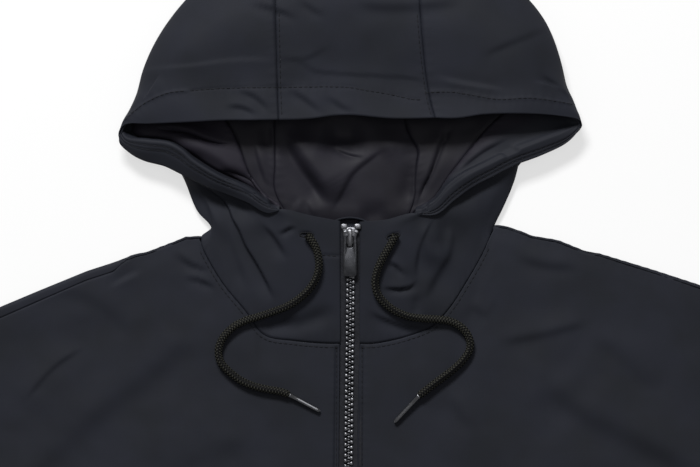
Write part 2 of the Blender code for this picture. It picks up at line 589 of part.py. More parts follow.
def build_front(name, neck, table, sign, collection):
    """neck is the hood's neck seam from the zip to the neck point. Columns run
    from the hem up to that seam, then to the shoulder seam, then to the tip."""
    columns = []
    for x, y, z in neck:
        columns.append((abs(x), y, z))
    for out in SHOULDER_STATIONS:
        line, forward = shoulder_line(table, out)
        columns.append((out, line - forward, 2 * SHOULDER_ROLL))
    grid = np.empty((len(columns), FRONT_ROWS, 3))
    for i, (out, top_y, top_z) in enumerate(columns):
        y = hem_to_top(top_y, FRONT_ROWS)
        share = (out - ZIP_GAP_OUT) / (SHOULDER_TIP_OUT - ZIP_GAP_OUT)
        x = sign * (ZIP_GAP_OUT + (side_out(y) - ZIP_GAP_OUT) * share)
        shoulder_y = shoulder_line(table, max(out, table[0][0]))[0]
        z = front_height(x, y, shoulder_y)
        z = z + (top_z - z) * ease(y, top_y - 60.0, top_y)
        grid[i] = np.stack([x, y, z], axis=1)
    grid = drawn_in(grid, last_row=SEAM_GAP, last_column=SEAM_GAP / 2)
    return cloth(name, grid, collection, shell_cloth(), flip=sign < 0)


def back_columns(left, right, centre):
    """(x, neck y or None, table) across the back's top edge, left to right."""
    first = fine_row(NECK_BACK)
    columns = [(-out, None, SHOULDER_LEFT) for out in SHOULDER_STATIONS[::-1]]
    neck = np.concatenate([left[first::2, -1], centre[2:-1:2, -1], right[first::2, -1][::-1]])
    columns += [(x, y, None) for x, y, z in neck]
    columns += [(out, None, SHOULDER_RIGHT) for out in SHOULDER_STATIONS]
    return columns


def build_back(left, right, centre, collection):
    """Flat on the surface; at the shoulders it rolls over forward to the
    shoulder seam, and at the neck it ends at the hood's seam."""
    turns = np.radians([45.0, 90.0, 135.0, 180.0])
    columns = back_columns(left, right, centre)
    rows = BACK_ROWS
    grid = np.empty((len(columns), rows + len(turns) + 1, 3))
    for i, (x, neck_y, table) in enumerate(columns):
        if table is None:
            line, forward, folded = neck_y + NECK_END, 4.0, 0.0
        else:
            line, forward = shoulder_line(table, abs(x))
            folded = ease(abs(x), FOLD_STARTS, FOLD_FULL)
        flat_y = line - SHOULDER_ROLL
        y = hem_to_top(flat_y, rows)
        share = x / SHOULDER_TIP_OUT
        across = share * side_out(y)
        ahead = NECK_STEP * np.arange(1, len(turns) + 2)
        roll_y = np.append(SHOULDER_ROLL * np.sin(turns), SHOULDER_ROLL - forward + SEAM_GAP)
        roll_z = np.append(SHOULDER_ROLL * (1 - np.cos(turns)), 2 * SHOULDER_ROLL)
        top_y = flat_y + folded * roll_y + (1 - folded) * ahead
        top_x = np.full(len(ahead), across[-1])
        grid[i, :rows] = np.stack([across, y, np.zeros(rows)], axis=1)
        grid[i, rows:] = np.stack([top_x, top_y, folded * roll_z], axis=1)
    grid = drawn_in(grid, first_row=SEAM_GAP / 2, last_row=SEAM_GAP / 2)
    return cloth("back", grid, collection, shell_cloth(), flip=True)


def build_sleeve(name, table, sign, collection):
    """A flat tube from the armhole to the cuff. Sections go along it; round a
    section the points run out along the under wall and back along the upper."""
    tip_y = shoulder_line(table, SHOULDER_TIP_OUT)[0]
    way = np.array([math.cos(SLEEVE_FALL), -math.sin(SLEEVE_FALL)])
    cuff_top = np.array([SHOULDER_TIP_OUT, tip_y]) + way * SLEEVE_LENGTH
    cuff_low = cuff_top + np.array([-way[1], way[0]]) * -CUFF_WIDTH
    share = 0.5 - 0.5 * np.cos(np.linspace(0.0, math.pi, SLEEVE_ACROSS))
    arm_y = UNDERARM_Y + (tip_y - UNDERARM_Y) * share
    armhole = np.stack([side_out(arm_y) + ARMHOLE_GAP, arm_y], axis=1)
    cuff = cuff_low + (cuff_top - cuff_low) * share[:, None]
    r = SLEEVE_DEPTH / 2
    sections = []
    for t in np.linspace(0.0, 1.0, SLEEVE_SECTIONS):
        line = armhole * (1 - t) + cuff * t
        low, top = line[0], line[-1]
        along = (top - low) / np.linalg.norm(top - low)
        under = [(*p, 0.0) for p in line[1:-1]]
        over = [(*p, SLEEVE_DEPTH) for p in line[1:-1][::-1]]
        low_turn = [(*(low + along * r * 0.3), 0.9), (*low, r), (*(low + along * r * 0.3), 4.1)]
        top_turn = [(*(top - along * r * 0.3), 0.9), (*top, r), (*(top - along * r * 0.3), 4.1)]
        sections.append(low_turn[1::-1] + under + top_turn + over + low_turn[:1:-1])
    grid = np.array(sections, float)
    grid[..., 0] *= sign
    return cloth(name, grid, collection, shell_cloth(), around=True, flip=sign > 0)


def build_body(left, right, centre, collection):
    build_back(left, right, centre, collection)
    last = fine_row(NECK_POINT) + 1
    build_front("front_left", left[:last, -1], SHOULDER_LEFT, -1, collection)
    build_front("front_right", right[:last, -1], SHOULDER_RIGHT, 1, collection)
    build_sleeve("sleeve_left", SHOULDER_LEFT, -1, collection)
    build_sleeve("sleeve_right", SHOULDER_RIGHT, 1, collection)


# ---------------------------------------------------------------- zip

def ribbon(x_low, x_high, y_low, y_high, drop):
    """A strip along the zip, its top face the given drop under the cloth's face."""
    inner = [row[0] for row in ZIP_RISE if y_low + 4 < row[0] < y_high - 4]
    y = np.array([y_low] + inner + [y_high])
    z = zip_height(y) - drop
    return np.stack([np.stack([np.full(len(y), x), y, z], axis=1) for x in (x_low, x_high)])


def build_zip(collection):
    under_cloth = WALL + 2 * LAYER_GAP
    hem = HEM_Y + HEM_BACK
    for name, low, high in (("zip_tape_left", -TAPE_OUT, -TEETH_OUT - SEAM_GAP),
                            ("zip_tape_right", TEETH_OUT + SEAM_GAP, TAPE_OUT)):
        cloth(name, ribbon(low, high, hem, ZIP_TOP_Y, under_cloth), collection, tape_cloth(),
              wall=TAPE_WALL)
    teeth_top = SLIDER_Y + SLIDER_AHEAD - SLIDER_LENGTH - SEAM_GAP
    box_top = hem + ZIP_BOX_LENGTH
    teeth = ribbon(-TEETH_OUT, TEETH_OUT, box_top + SEAM_GAP, teeth_top, -TEETH_RISE)
    cloth("zip_teeth", teeth, collection, zip_metal(), wall=TEETH_DEPTH)
    box = ribbon(-TEETH_OUT, TEETH_OUT, hem, box_top, -2 * TEETH_RISE)
    cloth("zip_box", box, collection, zip_metal(), wall=TEETH_DEPTH + TEETH_RISE)
    guard_drop = under_cloth + TAPE_WALL + LAYER_GAP
    guard = ribbon(-GUARD_OUT, GUARD_OUT, GUARD_LOW_Y, GUARD_TOP_Y, guard_drop)
    cloth("zip_guard", guard, collection, shell_cloth(), wall=TAPE_WALL)


def box_mesh(name, size, centre, bevel=0.0):
    """A box of this size (mm) round centre, its edges rounded by bevel."""
    bm = bmesh.new()
    bmesh.ops.create_cube(bm, size=1.0)
    bmesh.ops.scale(bm, vec=Vector(size) * MM, verts=bm.verts)
    bmesh.ops.translate(bm, vec=Vector(centre) * MM, verts=bm.verts)
    if bevel:
        bmesh.ops.bevel(bm, geom=list(bm.edges), offset=bevel * MM, segments=2, affect='EDGES',
                        profile=0.5)
    mesh = bpy.data.meshes.new(name)
    bm.to_mesh(mesh)
    bm.free()
    return mesh


def cut_or_join(obj, mesh, operation, tools, frame):
    tool = bpy.data.objects.new(mesh.name, mesh)
    tool.matrix_world = frame
    tool.hide_render = True
    tool.display_type = 'WIRE'
    tools.objects.link(tool)
    change = obj.modifiers.new(mesh.name, "BOOLEAN")
    change.operation = operation
    change.object = tool
    change.solver = 'EXACT'


def build_slider(collection, tools):
    """The slider with its bridge, and the pull tab whose bar turns under it.
    Their frame has its origin on that bar's axis and its Y along the zip."""
    low_y = ZIP_TOP_Y - SLIDER_RUN
    slope = math.atan2(zip_height(ZIP_TOP_Y) - zip_height(low_y), SLIDER_RUN)
    top = zip_height(SLIDER_Y) + SLIDER_RISE
    axis_z = top + BRIDGE_ROOM / 2
    frame = Matrix.Translation(Vector((0.0, SLIDER_Y, axis_z)) * MM) @ Matrix.Rotation(slope, 4, 'X')
    body_top = -BRIDGE_ROOM / 2
    body_y = SLIDER_AHEAD - SLIDER_LENGTH / 2
    body = box_mesh("zip_slider", (SLIDER_WIDTH, SLIDER_LENGTH, SLIDER_DEPTH),
                    (0.0, body_y, body_top - SLIDER_DEPTH / 2), bevel=0.7)
    slider = keep(bpy.data.objects.new("zip_slider", body), collection, zip_metal())
    slider.matrix_world = frame
    bridge = box_mesh("slider_bridge", (BRIDGE_WIDTH, BRIDGE_LENGTH, BRIDGE_HEIGHT + 0.6),
                      (0.0, body_y + 0.2, body_top + (BRIDGE_HEIGHT - 0.6) / 2), bevel=0.4)
    cut_or_join(slider, bridge, 'UNION', tools, frame)
    room = box_mesh("slider_bridge_room",
                    (SLIDER_WIDTH + 2, BRIDGE_LENGTH - 2 * BRIDGE_WALL, BRIDGE_ROOM),
                    (0.0, body_y + 0.2, 0.0))
    cut_or_join(slider, room, 'DIFFERENCE', tools, frame)

    plate = box_mesh("zip_pull", (TAB_WIDTH, TAB_LENGTH, TAB_THICK),
                     (0.0, TAB_BAR / 2 - TAB_LENGTH / 2, 0.0), bevel=0.4)
    pull = keep(bpy.data.objects.new("zip_pull", plate), collection, zip_metal())
    pull.matrix_world = frame
    slot = box_mesh("pull_slot", (SLOT_WIDTH, SLOT_LENGTH, TAB_THICK * 3),
                    (0.0, -TAB_BAR / 2 - SLOT_LENGTH / 2, 0.0))
    cut_or_join(pull, slot, 'DIFFERENCE', tools, frame)


# ---------------------------------------------------------------- drawcord

def tube(name, points, radius, collection, finish):
    """A round tube: a POLY curve with a bevel and filled caps."""
    curve = bpy.data.curves.new(name, 'CURVE')
    curve.dimensions = '3D'
    curve.bevel_depth = radius * MM
    curve.bevel_resolution = 2
    curve.use_fill_caps = True
    spline = curve.splines.new('POLY')
    spline.points.add(len(points) - 1)
    for point, place in zip(spline.points, points):
        point.co = (*(Vector(place) * MM), 1.0)
    return keep(bpy.data.objects.new(name, curve), collection, finish)


def build_cord(side, route, tip_end, collection):
    """One free end of the drawcord, on a smooth curve, and the tip on its end."""
    smooth = even_points(through(np.array(route), [8] * (len(route) - 1)), CORD_POINTS)
    tube("cord_" + side, smooth, CORD_RADIUS, collection, cord_braid())
    end = smooth[-1]
    way = np.array(tip_end) - end
    way = way / np.linalg.norm(way)
    start = end + way * LAYER_GAP * 1.2
    tube("cord_tip_" + side, np.array([start, (start + tip_end) / 2, tip_end]), TIP_RADIUS,
         collection, tip_plastic())


def main():
    for obj in list(bpy.data.objects):
        bpy.data.objects.remove(obj, do_unlink=True)
    jacket = bpy.data.collections.new("windbreaker jacket")
    tools = bpy.data.collections.new("cutters")
    for collection in (jacket, tools):
        bpy.context.scene.collection.children.link(collection)
    left, right, centre = build_hood(jacket)
    build_body(left, right, centre, jacket)
    build_zip(jacket)
    build_slider(jacket, tools)
    build_cord("left", CORD_LEFT, TIP_LEFT_END, jacket)
    build_cord("right", CORD_RIGHT, TIP_RIGHT_END, jacket)


main()
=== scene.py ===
"""Looks of a hooded full-zip windbreaker laid face up on a flat surface.

Lengths in the tables are millimetres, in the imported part's frame: X to the
right as it is looked at, Y towards the hood, Z up. Each cloth piece is a grid
of points, rows by columns, worked out as whole arrays, and Solidify gives it
its thickness. The tables of sections are those of the part's source, sampled
more finely, with the folds and seams added as relief.
"""

import json
import math

import bpy
import numpy as np
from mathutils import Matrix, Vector
from mathutils.bvhtree import BVHTree

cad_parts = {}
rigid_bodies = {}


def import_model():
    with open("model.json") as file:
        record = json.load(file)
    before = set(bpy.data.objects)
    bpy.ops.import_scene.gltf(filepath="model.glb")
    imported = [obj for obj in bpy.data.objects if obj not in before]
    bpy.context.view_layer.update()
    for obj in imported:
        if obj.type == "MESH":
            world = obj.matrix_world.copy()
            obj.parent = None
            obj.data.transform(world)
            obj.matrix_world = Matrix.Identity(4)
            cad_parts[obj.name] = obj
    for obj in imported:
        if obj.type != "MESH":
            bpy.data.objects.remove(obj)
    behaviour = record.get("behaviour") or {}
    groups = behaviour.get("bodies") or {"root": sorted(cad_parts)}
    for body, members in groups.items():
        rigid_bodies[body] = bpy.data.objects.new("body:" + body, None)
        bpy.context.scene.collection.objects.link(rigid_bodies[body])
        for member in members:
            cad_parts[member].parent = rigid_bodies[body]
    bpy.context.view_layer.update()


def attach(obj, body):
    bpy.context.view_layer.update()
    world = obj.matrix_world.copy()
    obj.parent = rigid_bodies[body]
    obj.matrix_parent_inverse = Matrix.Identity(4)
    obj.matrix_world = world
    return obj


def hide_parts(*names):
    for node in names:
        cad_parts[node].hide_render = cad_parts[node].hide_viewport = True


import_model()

MM = 0.001
UPWARDS = np.array([0.0, 0.0, 1.0])

# Relief
FOLD_REACH = 2.6        # half widths from a fold's line to where it stops
FOLD_TAPER = 0.4        # the share of its length over which each end rises,
FOLD_TAPER_MOST = 16.0  # and the most that this can be
ROW_REACH = 12.0        # from a row of stitching to where its pucker stops
ROW_TAPER = 2.0
PUCKER_LENGTH, PUCKER_WIDE = 5.1, 4.0
# Undulation: height, wave length and seed of each layer
HOOD_RUMPLE = (0.35, 34.0)
FACING_RUMPLE = [(0.3, 17.0, 20)]
LINING_RUMPLE = (0.4, 26.0)
FRONT_RUMPLE = [(0.4, 60.0, 40), (0.16, 26.0, 44)]
BACK_RUMPLE = [(0.25, 30.0, 50)]
SLEEVE_RUMPLE = [(0.6, 60.0, 60), (0.35, 28.0, 64)]

# Cloth
WALL = 1.2              # a cloth solid's thickness in the frame
SKIN = 0.7              # cloth as it is seen here
LAYER_GAP = 0.35        # between one layer and the next
SEAM_GAP = 0.3          # between two solids that meet at a seam
LAP = 3.0               # how far the lining goes under the facing
EDGE_BACK = 0.6         # the facing's edge back from the shell's
CORNER_SLACK = 0.45     # share added to the layers' distance round the corners

# Body
HEM_Y = -443.9
UNDERARM_Y = -60.0
SHOULDER_TIP_OUT = 275.0
NECK_SEAM_Y = 190.0
SIDE_HEIGHT = 3.0
CHEST_HEIGHT = 4.3
SHOULDER_ROLL = 2.5
NECK_STEP = 0.3
NECK_END = SHOULDER_ROLL - 5 * NECK_STEP - SEAM_GAP - 0.1
FOLD_STARTS = {-1: 93.9, 1: 90.0}
VIEW_LOW_Y = 100.0      # the finer part of the fronts starts here

# Sleeve
SLEEVE_LENGTH = 600.0
SLEEVE_FALL = math.radians(58.0)
CUFF_WIDTH = 125.0
SLEEVE_DEPTH = 5.0
CUFF_HEM = 22.0
ARMHOLE_GAP = 0.02

# Front zip
ZIP_GAP_OUT = 6.0
TAPE_OUT = 15.0
TEETH_OUT = 2.75
TEETH_DEPTH = 2.7
TEETH_RISE = 0.3
TEETH_PITCH = 3.3       # on one side
ZIP_BOX_LENGTH = 9.7
GUARD_OUT = 10.5
GUARD_LOW_Y, GUARD_TOP_Y = 200.0, 268.6
ZIP_TOP_Y = 264.0
HEM_BACK = 2.0
SLIDER_Y = 257.0
SLIDER_LENGTH = 13.0
SLIDER_DEPTH = 2.8
SLIDER_RISE = 1.5
SLIDER_AHEAD = 5.0
SLIDER_RUN = 20.0
BRIDGE_WIDTH = 2.6
BRIDGE_LENGTH = 11.6
BRIDGE_ROOM = 2.1
TAB_LENGTH = 26.0
TAB_WIDTH = 8.5
TAB_THICK = 1.2
TAB_BAR = 1.2
SLOT_WIDTH = 4.7
SLOT_LENGTH = 7.0

# Facing and lining
LIP_ROWS = {"left": (10, 7), "right": (3, 6)}    # columns of the facing that are stitched
LIP_ROW_DEPTH = 0.6
LIP_ROW_WIDE = 0.9      # in columns
# Columns of the facing between which it turns from shell colour to lining
LINED_FROM = {-1: (20.0, 24.0), 1: (40.0, 72.0)}
CREVICE = {-1: 13.0, 1: 0.8}     # how far the facing drops behind the crest, by side
CREVICE_OUT = 2.4       # from the crest to the bottom of that drop
SWELL_LIFT = {-1: 0.0, 1: 0.8}   # added to the swell's height, by side
LIP_GAP = 0.9           # from the shell's outer face to its facing, at the lip
SEAM_DRAWN = 0.04       # each edge back from its seam
FACING_LOWEST, LINING_LOWEST = 0.8, 1.0

# Drawcord
CORD_RADIUS = 2.5
BRAID_PITCH = 1.9       # along the cord, for one strand to take the next one's place
BRAID_RELIEF = 0.6
STRANDS = 4             # each way round
EYELET_LONG, EYELET_WIDE = 8.2, 2.6

# Stage
VIEW_WIDE = 434.0       # seen across on the surface
VIEW_MIDDLE_Y = 258.2
CAMERA_HEIGHT = 6000.0
WORLD_LIGHT = 0.21
TABLE_GLOW = 0.64       # the lit table's own light, and the share that it reflects
TABLE_WHITE = 0.30
TABLE_HALF = 20000.0
TABLE_DROP = 0.3        # below the part, so that the two faces stay apart
LAMPS = [("softbox beyond the hood", (-0.5, 2.1, 2.0), (0.9, 0.6), 88.0),
         ("softbox overhead", (0.3, 0.6, 3.2), (1.3, 1.3), 11.0)]

# Hood side, one row for each section from the zip round the opening to the
# seam of the centre panel. Each section runs from the opening's edge to the
# neck seam: edge, roll (the crest where the edge turns over), lee (just past
# the crest), side, low, base and seam, each (out, y, z).
HOOD_LEFT = [
    # edge               roll                lee                 side
    # low                base                seam
    ("zip", (6, 266, 14), (6, 262, 13.8), (6, 256, 13.3), (6, 240, 11.9),
     (6, 222, 10), (6, 205, 7.9), (6, 190, 6)),
    ("eyelet", (24, 269.3, 14.6), (24, 265, 14.6), (23.5, 259, 14.2), (21, 241, 12.8),
     (18, 222, 10.6), (16, 205, 8.2), (15, 190, 6)),
    ("break", (42, 273.2, 15.6), (42, 272, 16.0), (41, 267, 15.2), (37, 248, 13.4),
     (34, 226, 11), (34, 206, 8.4), (34, 191.6, 6)),
    ("lip 1", (51.0, 271.0, 14.8), (53, 277.6, 16.8), (53, 274.5, 14.2), (51, 255, 12.2),
     (50, 233, 10), (51, 211, 7.8), (53, 195.3, 6)),
    ("lip 2", (62.6, 277.4, 14.8), (62.5, 285, 18.6), (62, 281.8, 15.0), (61, 263, 11.8),
     (61, 243, 9.4), (62.5, 224, 7.4), (64.8, 210, 6)),
    ("lip 3", (83, 285.5, 15), (82.5, 294, 20.8), (81.5, 290.5, 16), (77, 272, 10.8),
     (75.5, 252, 8.8), (76.5, 237, 7), (78.7, 227, 5.6)),
    ("lip 4", (98, 292, 14), (97.5, 303.5, 20.8), (95.5, 299, 15.5), (89, 280, 10),
     (84, 263, 7.6), (85.5, 252, 6.4), (88.3, 243, 5.3)),
    ("neck point", (106, 296, 13), (104.5, 309.5, 20.4), (102.5, 304, 14.5), (96.5, 287, 8.5),
     (86.2, 266, 6), (86, 258.5, 5.6), (92.3, 252.5, 5)),
    ("neck side", (114, 300, 12), (112, 313.5, 19.4), (109, 306, 12), (101.8, 290, 5),
     (94.5, 272, 3.6), (85.6, 263, 2.8), (91.2, 257.6, 2.4)),
    ("neck back", (127, 303.8, 11), (124.5, 315, 17.2), (120, 312, 9), (107, 302, 0.4),
     (94.5, 282, 0), (83.6, 265, 0), (86.4, 257.2, 0)),
    ("corner 1", (141, 313.5, 11), (138, 317, 13.5), (133, 318.5, 6), (122, 312.5, 0),
     (100, 293, 0), (80.5, 268, 0), (80.5, 255.2, 0)),
    ("corner 2", (143.3, 320, 13), (141.5, 322, 11), (137.5, 322.3, 5), (128, 320, 0),
     (105, 300, 0), (78, 271.5, 0), (74, 253, 0)),
    ("corner 3", (139.5, 325.5, 17), (140.3, 328, 14.5), (138.5, 329, 7), (131, 326.5, 0),
     (108, 308, 0), (77, 277, 0), (67, 251, 0)),
    ("brim 1", (124, 326, 23), (131.5, 333.5, 20), (135, 337.5, 13), (131, 338, 1),
     (106, 320, 0), (76, 284, 0), (60.5, 249.2, 0)),
    ("brim 2", (103.5, 326.7, 28.3), (111, 341, 26.8), (122.5, 353, 20.6), (128.5, 358, 9),
     (110, 344, 0), (72, 297, 0), (53, 247.6, 0)),
    ("brim 3", (78, 328, 30.6), (84, 345, 28.8), (103, 375, 27.3), (114.5, 386.5, 10),
     (98, 366, 0), (62, 308, 0), (45, 246, 0)),
    ("brim 4", (60, 328.2, 31), (63, 346.5, 29), (78, 392, 29.4), (88, 415.5, 10.5),
     (74, 392, 0), (50, 316, 0), (37.5, 244.8, 0)),
    ("panel", (44, 328.3, 31), (44.8, 348, 29), (46, 402, 31), (47, 437, 11),
     (44, 412, 0), (38, 320, 0), (30, 243.8, 0)),
]
HOOD_RIGHT = [
    ("zip", (6, 265.5, 14), (6, 262, 13.8), (6, 256, 13.3), (6, 240, 11.9),
     (6, 222, 10), (6, 205, 7.9), (6, 190, 6)),
    ("eyelet", (22, 266.8, 14.6), (22, 263, 14.6), (22, 257, 14.2), (20, 240, 12.8),
     (18, 222, 10.6), (16, 205, 8.2), (15, 190, 6)),
    ("break", (38, 270.8, 16.1), (38.5, 269.4, 16.6), (38.5, 265, 15.4), (36, 247, 13.4),
     (34, 226, 11), (34, 208, 8.5), (35, 194.2, 6)),
    ("lip 1", (53, 270.0, 14.6), (52, 275.2, 16.4), (52, 271.6, 13.9), (50, 254, 12.2),
     (49, 234, 10), (50, 215, 7.9), (51, 200.8, 6)),
    ("lip 2", (64.5, 279.0, 14.2), (62, 285.8, 17.2), (62, 282, 14.4), (61, 264, 12.0),
     (60.5, 245, 9.4), (61, 227, 7.4), (62, 212.5, 6)),
    ("lip 3", (75, 286.9, 14.0), (73.5, 294, 17.8), (73, 290, 14.6), (71, 273, 11.8),
     (70, 256, 8.8), (71, 241, 7), (72, 228, 5.6)),
    ("lip 4", (87, 293, 13.2), (86, 300.6, 16.2), (85, 296.4, 14.2), (82, 281, 11.2),
     (79, 265, 8), (79.5, 253.5, 6.4), (81, 243.5, 5.3)),
    ("neck point", (96, 297.7, 12.2), (95.5, 305.6, 15.4), (94.5, 301, 13.6), (92, 285, 9.6),
     (84.5, 266, 6.2), (83.5, 259.5, 5.6), (85.8, 254, 5)),
    ("neck side", (104, 301.5, 11.8), (104.5, 309.5, 15.0), (104.0, 303.5, 12), (101.8, 291, 5.5),
     (96.2, 277, 3.8), (90.2, 264.8, 2.8), (88, 259.8, 2.4)),
    ("neck back", (118, 307, 11.5), (118.5, 315, 14.2), (110, 310.5, 9), (102.2, 301, 0.4),
     (94.5, 283, 0), (86, 266.5, 0), (84.5, 256.6, 0)),
    ("corner 1", (133, 314.5, 11), (134, 321, 12.5), (127, 318, 6), (116, 312.5, 0),
     (99, 294, 0), (82.5, 270, 0), (79, 254.5, 0)),
    ("corner 2", (143.5, 324.5, 13), (141.8, 326, 11), (137.5, 325.5, 5), (128, 322, 0),
     (105, 302, 0), (80.5, 274, 0), (72.5, 252.5, 0)),
    ("corner 3", (141.5, 328.5, 17), (142, 331, 14.5), (139.8, 332, 7), (131.5, 329, 0),
     (109, 311, 0), (79, 279, 0), (66, 250.8, 0)),
    ("brim 1", (128, 331, 23), (134.5, 337, 20), (138, 341, 13), (133, 341, 1),
     (107, 322, 0), (77, 285, 0), (60, 249.1, 0)),
    ("brim 2", (106, 332.2, 28.3), (113, 345, 26.8), (125, 356, 20.6), (131.3, 361.5, 9),
     (112, 346, 0), (72, 298, 0), (53, 247.6, 0)),
    ("brim 3", (82, 331.7, 30.6), (87, 347, 28.8), (106, 379, 27.3), (119, 392.5, 10),
     (100, 370, 0), (62, 309, 0), (45, 246, 0)),
    ("brim 4", (66, 329.4, 31), (66, 346.5, 29), (79, 395, 29.4), (91, 419.5, 10.5),
     (75, 395, 0), (50, 317, 0), (37.5, 244.8, 0)),
    ("panel", (52.7, 329.6, 31), (48.6, 345.5, 29), (43, 402, 31), (44, 438, 11),
     (42, 412, 0), (36, 320, 0), (30, 243.8, 0)),
]
# Sections of the centre panel between its two seams, x in place of out
HOOD_CENTRE = [
    ("left", (-26, 328.9, 31), (-25, 350, 29), (-25, 408, 31.3), (-25, 442.2, 11),
     (-24, 415, 0), (-20, 320, 0), (-16, 242.5, 0)),
    ("middle", (-4, 331.4, 30.8), (-3, 352, 29), (-2, 409, 31.3), (0, 443.9, 11),
     (0, 416, 0), (0, 320, 0), (0, 242, 0)),
    ("right", (26, 329.2, 31), (24, 348.5, 29), (22, 408, 31.3), (23, 442.5, 11),
     (22, 415, 0), (18, 320, 0), (16, 242.5, 0)),
]
# Points between two sections, along the opening and along a section
HOOD_ROUND = (14, 13, 12, 10, 20, 15, 8, 8, 11, 12, 8, 8, 11, 18, 20, 16, 11)
HOOD_DOWN = (14, 36, 24, 18, 14, 8)
HOOD_ACROSS = (14, 14, 14, 14)
FIRST_LIP, LAST_LIP = 2, 12     # the rows "break" and "corner 3"
NECK_POINT, NECK_BACK = 7, 9

# Facing inside the lip: dip (the hollow behind the crest), swell and seam
# (where the lining starts). Then the lining's seam with its centre panel.
# A row for each hood section from "break" to "corner 3".
FACING_LEFT = [
    ((42, 274, 15.5), (42.4, 275, 13), (42.8, 276, 11), (40.5, 272, 8.2)),
    ((53, 281.6, 16), (53.6, 282.8, 13), (54.2, 284, 11), (45, 280, 8.6)),
    ((61, 291, 14.5), (61.2, 292.5, 12.5), (61.5, 294.5, 11.5), (47, 286.5, 9)),
    ((78, 303, 9.5), (71, 303, 13), (65, 301.5, 12), (47, 292, 9.5)),
    ((92, 312, 8), (80, 310, 13.5), (67, 307, 12.3), (46.5, 299, 10)),
    ((99, 315.5, 7.5), (85, 313.5, 13.5), (68.5, 311.5, 12.2), (46.5, 304, 10)),
    ((106, 318.5, 7), (91, 317.5, 13), (70, 315.5, 11.6), (46.5, 309, 9.5)),
    ((118, 321.5, 6), (98, 321.5, 12), (72, 320, 10.8), (46.7, 314.5, 9)),
    ((130, 322.5, 5.5), (105, 325, 10), (75, 325.5, 9.8), (47, 320, 8)),
    ((134, 324, 5), (109, 329, 8), (79, 332, 8.6), (47, 327, 7)),
    ((133, 328, 5), (113, 336.5, 6), (85, 342, 7), (47, 338, 5.5)),
]
FACING_RIGHT = [
    ((39, 272, 15.5), (39.4, 273, 13), (39.8, 274, 11), (36.8, 270, 8.2)),
    ((52, 278.8, 15.5), (52.2, 280, 13), (52.5, 281.5, 11), (39, 276, 8.6)),
    ((60.5, 289.4, 15), (60.2, 291, 13), (60, 293, 12), (40.2, 282, 9)),
    ((70, 298, 14), (67.5, 298.8, 13.3), (65.5, 300, 12.5), (40.2, 289, 9.5)),
    ((80.5, 304.2, 13.5), (75, 305, 13.5), (70, 305.5, 12.5), (40.6, 296, 10)),
    ((90, 309.2, 12.5), (81.5, 310, 13), (74, 310, 12.3), (41.5, 302.5, 10)),
    ((98, 313.5, 11.5), (87.5, 315, 12.5), (78, 315, 11.8), (42.2, 308, 9.5)),
    ((110, 318.5, 8.5), (95, 320, 11.5), (83, 321.5, 11), (41, 312, 9)),
    ((124, 323, 6), (106, 325.5, 10), (89, 327.5, 9.8), (38, 317, 8)),
    ((134, 327, 5), (114, 332, 8), (96, 334, 8.6), (35, 324, 7)),
    ((135, 331.5, 5), (118, 340, 6), (102, 343, 7), (33, 337, 5.5)),
]
# The lining goes on, below under the collar and above under the brim: seam
# with the facing, seam with the centre panel
LINING_BELOW_LEFT = [((41, 250, 3.5), (35, 250, 3.5)), ((43.5, 264, 6), (37.5, 261, 5.5))]
LINING_ABOVE_LEFT = [((88, 355, 5), (47, 354, 4)), ((84, 378, 3), (46, 376, 3))]
LINING_BELOW_RIGHT = [((39, 250, 3.5), (33, 250, 3.5)), ((41.5, 262, 6), (35, 260, 5.5))]
LINING_ABOVE_RIGHT = [((100, 357, 5), (33, 354, 4)), ((88, 378, 3), (34, 376, 3))]
# Shoulder: the outline as it lies, then the seam's distance in front of it
SHOULDER_LEFT = [(93.3, 256.7, 0.8), (102.3, 256.2, 0.8), (106.6, 254.2, 0.8), (125.9, 246.8, 0.9),
                 (133.9, 245.4, 1.2), (141.0, 242.4, 2.4), (147.0, 240.2, 5.8), (163.1, 235, 5.8),
         (193.4, 222.6, 6.6),
                 (217, 212.7, 7), (246, 200.6, 7), (275, 188, 7)]
SHOULDER_RIGHT = [(90, 263.6, 0.7), (96.7, 262.9, 0.7), (108, 259, 0.7), (112, 257, 0.7),
                  (129, 254.2, 0.8), (145.7, 247.4, 0.9), (155, 245.8, 1.0), (188.5, 235.6, 1.4),
                  (217, 226.3, 1.6), (246, 216, 1.6), (275, 205, 1.6)]
# Half width of the body by height, from the hem to above the shoulder
SIDE_LINE = [(HEM_Y, 300), (UNDERARM_Y, 300), (205, SHOULDER_TIP_OUT), (300, SHOULDER_TIP_OUT)]
# Height of the front's outer face at the zip's edge, and of the zip under it
ZIP_RISE = [(HEM_Y, CHEST_HEIGHT), (-200, CHEST_HEIGHT), (60, 4.5), (150, 5.2), (NECK_SEAM_Y, 6),
            (205, 7.9), (222, 10), (240, 11.9), (256, 13.3), (266, 14)]
